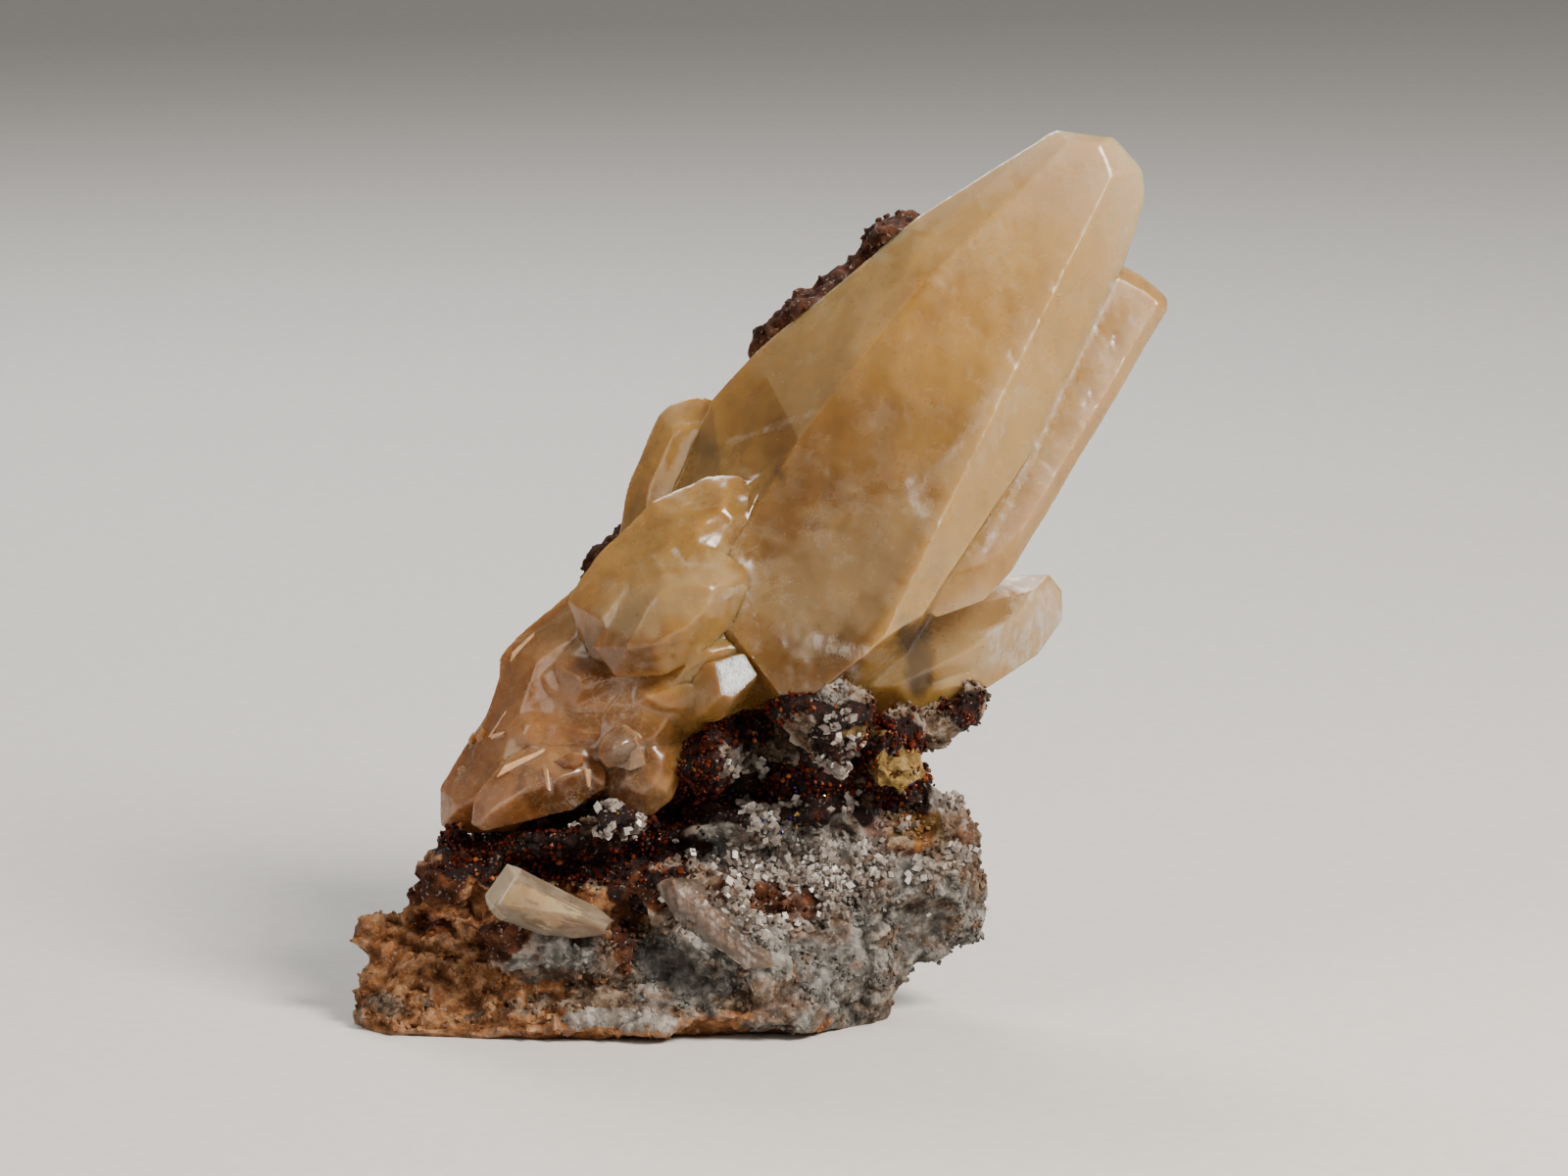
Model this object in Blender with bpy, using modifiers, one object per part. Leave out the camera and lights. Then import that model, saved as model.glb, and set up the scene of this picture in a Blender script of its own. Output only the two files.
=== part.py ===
"""A calcite specimen: pale honey blades of calcite on a rough rock with a dark sphalerite crust.

Run with: blender --background --python part.py
Metres, +Z up. The origin is on the flat underside, and the front of the specimen faces -Y.

Shapes are drawn in millimetres as the front of the specimen is seen, from VIEW_TILT above level:
x to the right, z up the picture, and depth y away from the eye. world() turns that view upright.
"""

import math

import bmesh
import bpy
from mathutils import Matrix, Vector

MM = 0.001
VIEW_TILT = math.radians(10.0)
BASE_DROP = 4.0  # mm from the drawn origin down to the flat underside
GAP = 0.3  # mm between pieces that touch
BLOCK = 400.0  # mm, the blank that a crystal is cleaved from

CALCITE = ((0.60, 0.44, 0.27), 0.28)
PALE_CALCITE = ((0.66, 0.56, 0.45), 0.30)
ROCK = ((0.26, 0.20, 0.15), 0.92)
PINK_CALCITE = ((0.56, 0.44, 0.38), 0.34)


def clear_scene():
    for obj in list(bpy.data.objects):
        bpy.data.objects.remove(obj)


def new_collection(name, hidden=False):
    """A collection of the scene; a hidden one holds solids that only shape others."""
    made = bpy.data.collections.new(name)
    made.hide_render = hidden
    bpy.context.scene.collection.children.link(made)
    return made


def material(name, colour_and_roughness):
    colour, roughness = colour_and_roughness
    made = bpy.data.materials.new(name)
    made.use_nodes = True
    shader = made.node_tree.nodes["Principled BSDF"]
    shader.inputs["Base Color"].default_value = (*colour, 1.0)
    shader.inputs["Roughness"].default_value = roughness
    shader.inputs["Metallic"].default_value = 0.0
    return made


def world():
    """The matrix that carries the drawn view, in millimetres, to the upright specimen, in metres."""
    upright = Matrix.Rotation(-VIEW_TILT, 4, "X") @ Matrix.Scale(MM, 4)
    return Matrix.Translation((0, 0, -BASE_DROP * MM)) @ upright


def add_object(name, bm, collection):
    """A new object from a bmesh in the drawn view."""
    bm.transform(world())
    bmesh.ops.recalc_face_normals(bm, faces=bm.faces)
    mesh = bpy.data.meshes.new(name)
    bm.to_mesh(mesh)
    bm.free()
    obj = bpy.data.objects.new(name, mesh)
    collection.objects.link(obj)
    return obj


# Crystals

def towards(lean_right, lean_up, side):
    """The direction of a face that looks to the eye (side -1) or away (side 1), turned right and up."""
    return Vector((math.tan(math.radians(lean_right)), side, math.tan(math.radians(lean_up)))).normalized()


def cut(bm, point, normal):
    """Cleaves the solid along a plane, takes away the side that normal points to and closes it."""
    whole = bm.verts[:] + bm.edges[:] + bm.faces[:]
    bmesh.ops.bisect_plane(bm, geom=whole, plane_co=point, plane_no=normal, clear_outer=True)
    bmesh.ops.delete(bm, geom=bm.edges[:], context="EDGES_FACES")
    bmesh.ops.remove_doubles(bm, verts=bm.verts[:], dist=0.004)
    bmesh.ops.convex_hull(bm, input=bm.verts[:])
    bmesh.ops.dissolve_limit(bm, angle_limit=math.radians(0.4), verts=bm.verts[:], edges=bm.edges[:])


def facets(girdle, plane, crown, pavilion, front, back, planes=()):
    """A point and the outward normal of each face of a crystal."""
    x0, z0, depth, lean_right, lean_up = plane
    eye = towards(lean_right, lean_up, -1)
    rim = [
        Vector((x, depth - ((x - x0) * eye.x + (z - z0) * eye.z) / eye.y, z))
        for x, z in girdle
    ]
    found = []
    for side, slopes in ((eye, crown), (-eye, pavilion)):
        if not isinstance(slopes, (list, tuple)):
            slopes = [slopes] * len(rim)
        for i, slope in enumerate(slopes):
            start, end = rim[i], rim[(i + 1) % len(rim)]
            outward = eye.cross(end - start).normalized()
            lean = math.radians(slope)
            found.append((start, side * math.cos(lean) + outward * math.sin(lean)))
    for side, faces in ((-1, front), (1, back)):
        for x, z, y, right, up in faces:
            found.append((Vector((x, y, z)), towards(right, up, side)))
    middle = sum(rim, Vector()) / len(rim)
    for corners in planes:
        a, b, c = (Vector((x, y, z)) for x, z, y in corners)
        normal = (b - a).cross(c - a).normalized()
        found.append((a, normal if normal.dot(middle - a) < 0 else -normal))
    return found


def crystal_mesh(spec, clearance=0.0):
    """A flat-faced crystal cleaved from a block, each face moved out by clearance.

    girdle is the outline as seen, clockwise, on a plane (x, z, depth, lean_right, lean_up). The crown
    faces rise from it towards the eye and the pavilion faces run back, each at a slope from that plane.
    front and back are more faces, given like the plane, and planes are faces through three (x, z, depth).
    """
    bm = bmesh.new()
    bmesh.ops.create_cube(bm, size=BLOCK)
    for point, normal in facets(**spec):
        cut(bm, point + normal * clearance, normal)
    return bm


CRYSTALS = {
    "great_blade": {
        "girdle": [
            (30.8, 93.1), (37.3, 92.6), (39.5, 89.6), (39.9, 85.8), (37.8, 79.4), (29.6, 61.2), (14.5, 37.0),
            (10.0, 33.0), (-6.0, 32.6), (-13.0, 44.0), (-4.4, 65.4), (0.0, 70.1), (16.6, 84.1),
        ],
        "plane": (16.0, 62.0, 0.0, 0, 0),
        "crown": [55, 39, 70, 76, 84, 84, 76, 82, 64, 62, 50, 49, 46],
        "pavilion": [50, 50, 55, 55, 58, 60, 60, 75, 55, 50, 46, 44, 42],
        "front": [(29.0, 89.7, -2.6, 2.1, 15)],
        "back": [(16.0, 62.0, 8.0, 6, 12)],
        "planes": [((31.2, 77.7, -5.7), (18.0, 51.2, -13.3), (33.2, 70.0, -3.3))],
    },
    "shoulder": {
        "girdle": [
            (-6.4, 60.9), (0.0, 61.7), (6.4, 64.1), (8.6, 66.0), (14.0, 56.0), (6.0, 34.0), (-6.0, 32.0),
            (-15.0, 41.0), (-9.8, 55.0),
        ],
        "plane": (0.0, 55.0, -3.0, 0, 0),
        "crown": [78, 82, 82, 60, 60, 60, 60, 60, 64],
        "pavilion": 62,
        "front": [(8.0, 62.0, -10.55, -6, 16)],
        "back": [(0.0, 50.0, 8.0, 0, 8)],
    },
    "right_blade": {
        "girdle": [
            (37.4, 80.1), (39.6, 78.2), (41.2, 77.4), (42.2, 75.6), (42.2, 74.6), (29.2, 53.0), (26.0, 47.8),
            (23.3, 44.9), (18.4, 43.2), (13.0, 46.0), (24.0, 66.0),
        ],
        "plane": (37.0, 77.7, 0.5, 5.7, 13.2),
        "crown": [45, 40, 50, 55, 54, 52, 40, 26, 30, 70, 70],
        "pavilion": [50, 50, 55, 55, 52, 52, 50, 50, 55, 60, 60],
        "front": [(37.0, 77.7, -1.15, 5.7, 13.2)],
        "back": [(31.0, 60.0, 6.5, 14, 6)],
    },
    "low_blade": {
        "girdle": [
            (20.0, 46.0), (26.5, 47.4), (30.1, 47.6), (31.4, 45.9), (31.4, 43.0), (29.0, 39.5), (24.0, 36.1),
            (17.0, 33.2), (11.0, 33.4), (8.0, 36.0), (12.0, 44.0),
        ],
        "plane": (24.0, 41.0, -1.0, 6, 4),
        "crown": [60, 62, 50, 46, 40, 38, 40, 50, 60, 60, 60],
        "pavilion": 54,
        "front": [(24.0, 41.0, -4.6, 3, 6)],
        "back": [(20.0, 40.0, 6.0, 6, 0)],
    },
    "back_left": {
        "girdle": [
            (4.0, 58.0), (2.0, 46.0), (-9.0, 42.0), (-15.0, 47.0), (-13.5, 54.8), (-12.9, 57.2),
            (-11.0, 61.6), (-9.8, 64.0), (-8.7, 65.0), (-6.6, 65.8), (-5.4, 65.8), (-4.0, 65.3),
        ],
        "plane": (-8.0, 56.0, 3.5, -6, 4),
        "crown": [60, 60, 60, 52, 50, 50, 48, 46, 44, 44, 48, 60],
        "pavilion": 56,
        "front": [(-8.0, 56.0, 0.0, -12, 8)],
        "back": [(-6.0, 54.0, 9.5, -4, 6)],
    },
    "round_upper": {
        "girdle": [
            (-5.0, 57.5), (-1.8, 57.7), (-0.2, 56.3), (1.2, 53.8), (1.1, 52.4), (-1.1, 48.2), (-4.0, 42.0),
            (-9.0, 38.0), (-16.0, 38.0), (-19.0, 45.0), (-15.8, 49.8), (-10.2, 55.2),
        ],
        "plane": (-8.0, 48.0, -12.0, -2, 10),
        "crown": [50, 44, 44, 48, 50, 52, 60, 60, 60, 42, 40, 40],
        "pavilion": 62,
        "front": [(-8.0, 48.0, -16.4, -2, 10), (-2.0, 53.0, -14.6, 16, 8)],
        "back": [(-8.0, 48.0, 2.0, 0, 0)],
    },
    "round_lower": {
        "girdle": [
            (-10.2, 49.6), (-6.6, 50.6), (-3.2, 50.0), (-0.6, 48.0), (-0.6, 46.2), (-2.4, 42.4),
            (-5.6, 39.2), (-9.0, 37.4), (-14.0, 37.0), (-16.4, 40.4), (-12.6, 47.2),
        ],
        "plane": (-8.0, 44.0, -16.4, 0, 6),
        "crown": [40, 40, 42, 46, 50, 52, 50, 50, 50, 44, 42],
        "pavilion": 62,
        "front": [(-8.0, 44.0, -19.8, -2, 8)],
        "back": [(-8.0, 44.0, -4.0, 0, 0)],
    },
    "mirror_end": {
        "girdle": [
            (-6.3, 38.2), (-2.0, 39.4), (0.2, 36.0), (-1.6, 34.3), (-3.2, 33.0), (-5.4, 33.4),
        ],
        "plane": (-3.4, 36.0, -15.0, 20, 19),
        "crown": 78,
        "pavilion": 82,
        "front": [(-3.0, 36.2, -19.6, 20, 19)],
        "back": [(-3.4, 36.0, -6.0, 0, 0)],
    },
    "under_round": {
        "girdle": [
            (-14.0, 38.0), (-7.0, 40.0), (-1.0, 39.5), (2.6, 37.6), (-1.0, 34.0), (-3.6, 32.5), (-6.6, 30.9),
            (-10.0, 31.0), (-14.5, 33.0),
        ],
        "plane": (-6.0, 35.0, -12.0, 0, 0),
        "crown": [50, 50, 60, 52, 50, 50, 50, 50, 50],
        "pavilion": 60,
        "front": [(-7.0, 35.0, -16.0, 4, -6)],
        "back": [(-6.0, 35.0, 4.0, 0, 0)],
    },
    "under_body": {
        "girdle": [
            (-9.0, 42.5), (-3.0, 43.5), (2.6, 41.6), (4.6, 37.0), (1.2, 34.9), (-1.8, 34.0), (-3.3, 32.6),
            (-5.8, 31.6), (-8.2, 31.0), (-12.0, 34.0),
        ],
        "plane": (-3.0, 37.0, -11.0, 2, 4),
        "crown": [60, 60, 52, 50, 50, 50, 50, 52, 54, 60],
        "pavilion": 60,
        "front": [(-3.4, 37.0, -18.0, 8, 10), (-9.0, 35.0, -16.8, -8, 0)],
        "back": [(-4.0, 37.0, 2.0, 0, 0)],
    },
    "left_body": {
        "girdle": [
            (-24.6, 40.4), (-17.0, 46.0), (-9.0, 45.0), (-3.0, 38.0), (-5.0, 31.2), (-8.0, 26.8),
            (-14.0, 25.2), (-23.0, 22.6), (-29.0, 23.6), (-28.6, 30.0),
        ],
        "plane": (-17.0, 35.0, -9.0, -6, 4),
        "crown": [50, 60, 60, 60, 56, 52, 52, 52, 50, 48],
        "pavilion": 60,
        "front": [(-18.0, 36.0, -13.3, -10, 8), (-14.0, 28.0, -15.4, -2, -6)],
        "back": [(-16.0, 34.0, 2.0, -6, 0)],
    },
    "left_upper": {
        "girdle": [
            (-17.2, 47.3), (-12.0, 45.0), (-9.0, 36.0), (-14.0, 29.0), (-22.0, 29.5), (-25.9, 35.2),
            (-25.9, 39.2), (-24.4, 41.0),
        ],
        "plane": (-18.0, 38.0, -8.5, -6, 6),
        "crown": [60, 60, 60, 50, 44, 42, 42, 40],
        "pavilion": 60,
        "front": [(-18.0, 38.0, -13.6, -10, 6), (-14.0, 36.0, -14.4, 2, 4)],
        "back": [(-16.0, 38.0, 3.0, -6, 0)],
    },
    "left_round": {
        "girdle": [
            (-20.3, 38.6), (-17.0, 39.8), (-13.0, 39.4), (-11.0, 36.8), (-12.4, 35.0), (-15.4, 34.4),
            (-17.8, 33.2), (-19.6, 35.6),
        ],
        "plane": (-16.0, 36.8, -13.4, 0, 0),
        "crown": [44, 42, 50, 50, 50, 48, 46, 44],
        "pavilion": 66,
        "front": [(-16.0, 36.8, -15.8, -4, 4)],
        "back": [(-16.0, 36.8, -6.0, 0, 0)],
    },
    "left_middle": {
        "girdle": [
            (-24.6, 34.8), (-20.0, 35.6), (-14.0, 34.4), (-12.4, 31.0), (-14.0, 28.4), (-19.0, 28.0),
            (-24.4, 28.6), (-26.4, 31.4),
        ],
        "plane": (-19.0, 32.0, -11.5, -4, 0),
        "crown": [46, 46, 50, 50, 50, 50, 46, 44],
        "pavilion": 62,
        "front": [(-20.0, 32.0, -14.4, -8, 4), (-15.0, 31.0, -14.6, 10, 0)],
        "back": [(-19.0, 32.0, -2.0, 0, 0)],
    },
    "left_lower": {
        "girdle": [
            (-25.8, 35.4), (-22.0, 33.0), (-21.0, 26.0), (-24.0, 21.6), (-29.0, 21.2), (-31.9, 22.0),
            (-31.9, 26.0), (-29.9, 29.4),
        ],
        "plane": (-26.0, 28.0, -7.0, -10, 4),
        "crown": [50, 60, 60, 54, 54, 52, 48, 44],
        "pavilion": 58,
        "front": [(-27.0, 28.0, -11.6, -12, 4)],
        "back": [(-24.0, 28.0, 4.0, -8, 0)],
    },
    "foot_left": {
        "girdle": [
            (-25.0, 29.2), (-21.0, 31.0), (-17.0, 30.6), (-14.9, 28.0), (-14.9, 25.5), (-16.0, 24.5),
            (-18.0, 24.0), (-21.0, 21.9), (-23.6, 21.2), (-27.2, 21.4), (-28.6, 22.4), (-28.2, 25.2),
        ],
        "plane": (-21.6, 26.0, -14.0, -2, 4),
        "crown": [40, 42, 50, 52, 52, 50, 46, 46, 50, 52, 46, 40],
        "pavilion": 64,
        "front": [(-22.0, 26.0, -18.0, -6, 8), (-17.0, 27.0, -17.2, 22, 4)],
        "back": [(-21.6, 26.0, -4.0, 0, 0)],
    },
    "foot_clear": {
        "girdle": [
            (-15.6, 31.2), (-13.0, 32.7), (-11.1, 31.4), (-11.4, 29.8), (-12.8, 28.6), (-14.8, 28.0),
            (-15.9, 29.4),
        ],
        "plane": (-13.5, 30.4, -16.2, 4, 8),
        "crown": [46, 44, 50, 50, 52, 50, 46],
        "pavilion": 70,
        "front": [(-13.5, 30.4, -18.0, 4, 10)],
        "back": [(-13.5, 30.4, -8.0, 0, 0)],
    },
    "foot_middle": {
        "girdle": [
            (-14.6, 31.0), (-10.0, 32.4), (-7.2, 30.6), (-6.9, 28.0), (-8.0, 25.0), (-10.4, 23.0),
            (-13.4, 23.6), (-15.4, 26.0),
        ],
        "plane": (-11.0, 28.0, -12.5, 0, 0),
        "crown": [50, 50, 50, 48, 48, 50, 50, 50],
        "pavilion": 64,
        "front": [(-11.0, 28.0, -15.2, 2, 4)],
        "back": [(-11.0, 28.0, -3.0, 0, 0)],
    },
}


# Rock

LUMPS = {
    "spike": {
        "girdle": [
            (-43.4, 10.4), (-40.0, 12.4), (-35.0, 14.4), (-26.0, 15.6), (-26.0, 5.6), (-34.0, 6.8),
            (-39.0, 8.2),
        ],
        "plane": (-32.0, 12.0, -7.0, 0, 0),
        "crown": [46, 40, 36, 40, 46, 50, 50],
        "pavilion": 36,
        "front": [(-32.0, 12.0, -13.0, -14, 20)],
        "back": [(-32.0, 12.0, 5.0, -20, 0)],
    },
    "left_step": {
        "girdle": [(-36.0, 13.8), (-34.4, 18.6), (-32.0, 21.4), (-24.0, 21.4), (-22.0, 12.0), (-35.0, 11.6)],
        "plane": (-29.0, 17.0, -9.0, 0, 0),
        "crown": [52, 50, 40, 50, 50, 50],
        "pavilion": 40,
        "front": [(-29.0, 17.0, -15.4, -10, 22)],
        "back": [(-29.0, 17.0, 4.0, -14, 0)],
    },
    "tongue": {
        "girdle": [
            (-38.6, 8.8), (-32.0, 11.6), (-20.0, 12.6), (-11.0, 9.0), (-9.0, 0.0), (-14.0, -1.4),
            (-37.0, -1.6), (-41.2, 1.2), (-41.2, 5.6),
        ],
        "plane": (-26.0, 6.0, -10.0, -4, 0),
        "crown": [46, 40, 40, 50, 60, 70, 66, 56, 50],
        "pavilion": 50,
        "front": [(-26.0, 4.0, -19.0, -12, 14)],
        "back": [(-26.0, 4.0, 8.0, -20, 0)],
    },
    "base_middle": {
        "girdle": [
            (-30.0, 18.0), (-18.0, 20.6), (-4.0, 21.6), (10.0, 21.0), (18.0, 16.0), (17.0, 9.5),
            (15.2, 4.4), (13.0, 0.0), (-13.0, -1.6), (-26.0, -1.0), (-34.0, 3.0), (-34.0, 12.0),
        ],
        "plane": (-6.0, 10.0, -8.0, 0, 0),
        "crown": [34, 34, 34, 40, 46, 50, 64, 74, 74, 70, 50, 40],
        "pavilion": [50, 50, 50, 50, 50, 50, 60, 80, 80, 70, 50, 50],
        "front": [(-6.0, 6.0, -21.0, 0, 8), (8.0, 6.0, -20.6, 14, 4), (-8.0, 14.0, -18.6, 0, 34)],
        "back": [(-6.0, 8.0, 19.0, -6, -4)],
    },
    "base_right": {
        "girdle": [
            (6.0, 22.6), (14.0, 25.4), (19.4, 25.2), (22.4, 23.8), (23.9, 20.4), (24.2, 16.0), (24.2, 12.6),
            (23.4, 9.2), (19.0, 8.4), (15.0, 6.4), (4.0, 4.0), (0.0, 12.0),
        ],
        "plane": (12.0, 14.0, -6.0, 0, 0),
        "crown": [40, 40, 44, 50, 56, 56, 54, 50, 50, 60, 60, 40],
        "pavilion": 52,
        "front": [(14.0, 12.0, -18.0, 14, 16), (10.0, 20.0, -17.0, 8, 30)],
        "back": [(12.0, 14.0, 14.0, 12, 4)],
    },
    "ledge": {
        "girdle": [
            (-32.6, 20.6), (-31.0, 22.4), (-18.0, 24.4), (-6.0, 27.0), (6.0, 29.0), (16.0, 28.6),
            (18.0, 26.0), (16.0, 16.0), (-24.0, 12.0), (-33.6, 17.0),
        ],
        "plane": (-8.0, 22.0, -2.0, 0, 0),
        "crown": [60, 66, 66, 66, 66, 60, 50, 50, 50, 50],
        "pavilion": 50,
        "front": [(-8.0, 21.0, -14.0, -4, 40), (-22.0, 20.0, -17.5, -4, 18)],
        "back": [(-8.0, 22.0, 17.0, -6, 10)],
    },
    "socket": {
        "girdle": [
            (-28.4, 9.6), (-27.6, 12.6), (-24.0, 14.0), (-14.0, 13.4), (-12.0, 11.0), (-12.6, 7.6),
            (-17.0, 6.2), (-25.0, 6.6),
        ],
        "plane": (-20.0, 10.0, -18.0, -2, 0),
        "crown": [50, 50, 40, 50, 50, 50, 44, 44],
        "pavilion": 60,
        "front": [(-20.0, 9.6, -21.6, -2, 16)],
        "back": [(-20.0, 10.0, -8.0, 0, 0)],
    },
    "bank": {
        "girdle": [
            (-12.4, 16.4), (-9.4, 18.8), (-4.0, 18.4), (3.6, 12.0), (4.8, 7.6), (1.0, 5.6), (-8.0, 9.0),
        ],
        "plane": (-4.0, 12.8, -17.4, 2, 28),
        "crown": 44,
        "pavilion": 60,
        "front": [(-4.0, 12.8, -20.9, 2, 28)],
        "back": [(-4.0, 12.8, -8.0, 0, 0)],
    },
    "slab_low": {
        "girdle": [
            (-30.4, 23.0), (-28.4, 27.6), (-24.8, 34.6), (-16.6, 44.0), (14.0, 46.0), (16.0, 30.0),
            (14.0, 18.0), (-28.0, 16.0),
        ],
        "plane": (-6.0, 32.0, 6.0, -6, 0),
        "crown": [50, 50, 50, 60, 50, 50, 50, 50],
        "pavilion": 46,
        "front": [(-6.0, 32.0, -4.0, -4, 4)],
        "back": [(-6.0, 32.0, 18.0, -4, 8)],
    },
    "slab_middle": {
        "girdle": [
            (-18.2, 45.6), (-18.4, 49.2), (-17.4, 51.8), (-14.8, 53.2), (-11.0, 56.0), (-4.0, 62.6),
            (2.0, 68.0), (17.0, 66.0), (16.0, 40.0), (-17.0, 38.0),
        ],
        "plane": (-2.0, 52.0, 8.0, -4, 0),
        "crown": [60, 60, 60, 60, 60, 60, 60, 50, 50, 50],
        "pavilion": 50,
        "front": [(-2.0, 52.0, 2.0, 0, 0)],
        "back": [(-2.0, 52.0, 15.5, 2, 8)],
    },
    "slab_upper": {
        "girdle": [
            (-0.2, 71.2), (0.4, 73.4), (2.0, 75.4), (7.4, 79.2), (10.6, 80.6), (17.0, 76.0),
            (16.0, 56.0), (-2.0, 58.0),
        ],
        "plane": (8.0, 70.0, 5.0, 0, 0),
        "crown": [66, 66, 66, 66, 66, 60, 60, 60],
        "pavilion": 50,
        "front": [(8.0, 70.0, 0.0, 0, 0)],
        "back": [(8.0, 70.0, 13.5, 4, 10)],
    },
    "slab_tip": {
        "girdle": [
            (9.4, 78.6), (10.4, 81.2), (11.6, 83.6), (13.0, 85.2), (14.6, 85.6), (17.0, 84.2), (19.0, 80.0),
            (16.0, 70.0), (8.0, 70.0),
        ],
        "plane": (13.0, 78.0, 4.6, 0, 0),
        "crown": [66, 60, 60, 60, 60, 60, 60, 60, 60],
        "pavilion": 50,
        "front": [(13.0, 78.0, 0.0, 0, 0)],
        "back": [(13.0, 78.0, 10.5, 4, 12)],
    },
    "knob_right_high": {
        "girdle": [(15.6, 24.6), (17.6, 26.6), (21.4, 25.2), (22.2, 23.2), (20.4, 20.4), (16.0, 20.6)],
        "plane": (19.0, 23.4, -8.0, 0, 0),
        "crown": 50,
        "pavilion": 50,
        "front": [(19.0, 23.4, -12.6, 14, 20)],
        "back": [(19.0, 23.4, -3.0, 0, 0)],
    },
    "knob_right": {
        "girdle": [(19.0, 20.6), (21.6, 22.6), (23.8, 21.8), (23.6, 20.0), (21.0, 18.4)],
        "plane": (21.6, 20.8, -6.0, 0, 0),
        "crown": 52,
        "pavilion": 50,
        "front": [(21.4, 20.8, -9.0, 14, 10)],
        "back": [(21.6, 20.8, -2.0, 0, 0)],
    },
}

CRUST = {
    "crown_block": {
        "girdle": [
            (-1.0, 33.4), (1.8, 36.0), (3.0, 37.6), (4.4, 37.9), (9.0, 36.6), (11.6, 35.8), (12.3, 34.0),
            (11.8, 31.6), (10.0, 28.6), (7.6, 25.8), (5.0, 27.0), (2.6, 30.8),
        ],
        "plane": (6.0, 32.0, -16.0, 0, 0),
        "crown": [50, 56, 60, 60, 60, 56, 56, 50, 50, 50, 50, 46],
        "pavilion": 64,
        "front": [(6.0, 33.0, -20.4, -14, 16), (9.6, 31.0, -20.2, 26, -10)],
        "back": [(6.0, 32.0, -5.0, 0, 0)],
    },
    "right_block": {
        "girdle": [
            (10.6, 34.4), (14.0, 34.8), (17.2, 34.2), (17.4, 30.6), (17.0, 27.0), (13.6, 25.6), (9.6, 26.4),
            (9.4, 30.6),
        ],
        "plane": (13.6, 30.0, -8.0, 0, 0),
        "crown": 52,
        "pavilion": 58,
        "front": [(13.6, 31.0, -13.6, 8, 6)],
        "back": [(13.6, 30.0, 4.0, 0, 0)],
    },
    "flange": {
        "girdle": [
            (14.6, 33.4), (18.0, 35.4), (22.8, 36.8), (24.2, 35.4), (23.4, 31.6), (19.6, 29.8), (15.6, 29.6),
        ],
        "plane": (19.4, 33.0, -2.6, 0, 0),
        "crown": [56, 60, 54, 54, 56, 56, 50],
        "pavilion": 56,
        "front": [(19.4, 33.0, -7.0, 8, 10)],
        "back": [(19.4, 33.0, 4.0, 14, 0)],
    },
    "middle_block": {
        "girdle": [
            (-8.6, 30.8), (-5.0, 32.8), (-1.6, 33.4), (-0.4, 31.0), (-0.6, 27.6), (-4.0, 24.8), (-8.0, 24.4),
            (-9.4, 27.4),
        ],
        "plane": (-4.6, 29.0, -12.5, 0, 0),
        "crown": [46, 46, 50, 50, 50, 44, 44, 44],
        "pavilion": 60,
        "front": [(-4.6, 29.0, -16.6, -8, 8), (-2.6, 28.0, -16.4, 22, 8)],
        "back": [(-4.6, 29.0, -2.0, 0, 0)],
    },
    "recess_wall": {
        "girdle": [(-8.0, 36.0), (12.0, 37.0), (15.4, 32.0), (13.0, 22.0), (-12.0, 21.0), (-14.0, 28.0)],
        "plane": (2.0, 30.0, -2.0, 0, 0),
        "crown": 60,
        "pavilion": 60,
        "front": [(2.0, 29.0, -8.0, 0, 14)],
        "back": [(2.0, 29.0, 8.0, 0, 0)],
    },
    "left_strip": {
        "girdle": [
            (-32.4, 21.6), (-30.6, 23.4), (-24.0, 23.6), (-16.0, 24.6), (-9.0, 26.4), (-8.0, 22.0),
            (-14.0, 19.0), (-24.0, 18.6), (-32.0, 18.8),
        ],
        "plane": (-20.0, 21.6, -12.0, -3, 0),
        "crown": [44, 46, 46, 46, 50, 50, 50, 50, 44],
        "pavilion": 50,
        "front": [(-20.0, 21.6, -18.6, -8, 26)],
        "back": [(-20.0, 21.6, -2.0, 0, 0)],
    },
    "blue_patch": {
        "girdle": [(-16.0, 24.6), (-13.4, 25.8), (-11.4, 24.0), (-12.2, 21.6), (-15.2, 21.2), (-16.4, 22.8)],
        "plane": (-13.8, 23.4, -16.4, 0, 0),
        "crown": 44,
        "pavilion": 60,
        "front": [(-13.8, 23.4, -19.0, 6, 16)],
        "back": [(-13.8, 23.4, -8.0, 0, 0)],
    },
    "nodule": {
        "girdle": [
            (11.8, 28.2), (13.0, 29.6), (15.0, 29.9), (16.6, 28.8), (17.0, 27.2), (15.6, 25.6), (13.4, 25.4),
            (12.0, 26.6),
        ],
        "plane": (14.4, 27.6, -12.4, 0, 0),
        "crown": 40,
        "pavilion": 60,
        "front": [(14.4, 27.6, -15.2, 8, 14)],
        "back": [(14.4, 27.6, -5.0, 0, 0)],
    },
}


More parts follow.
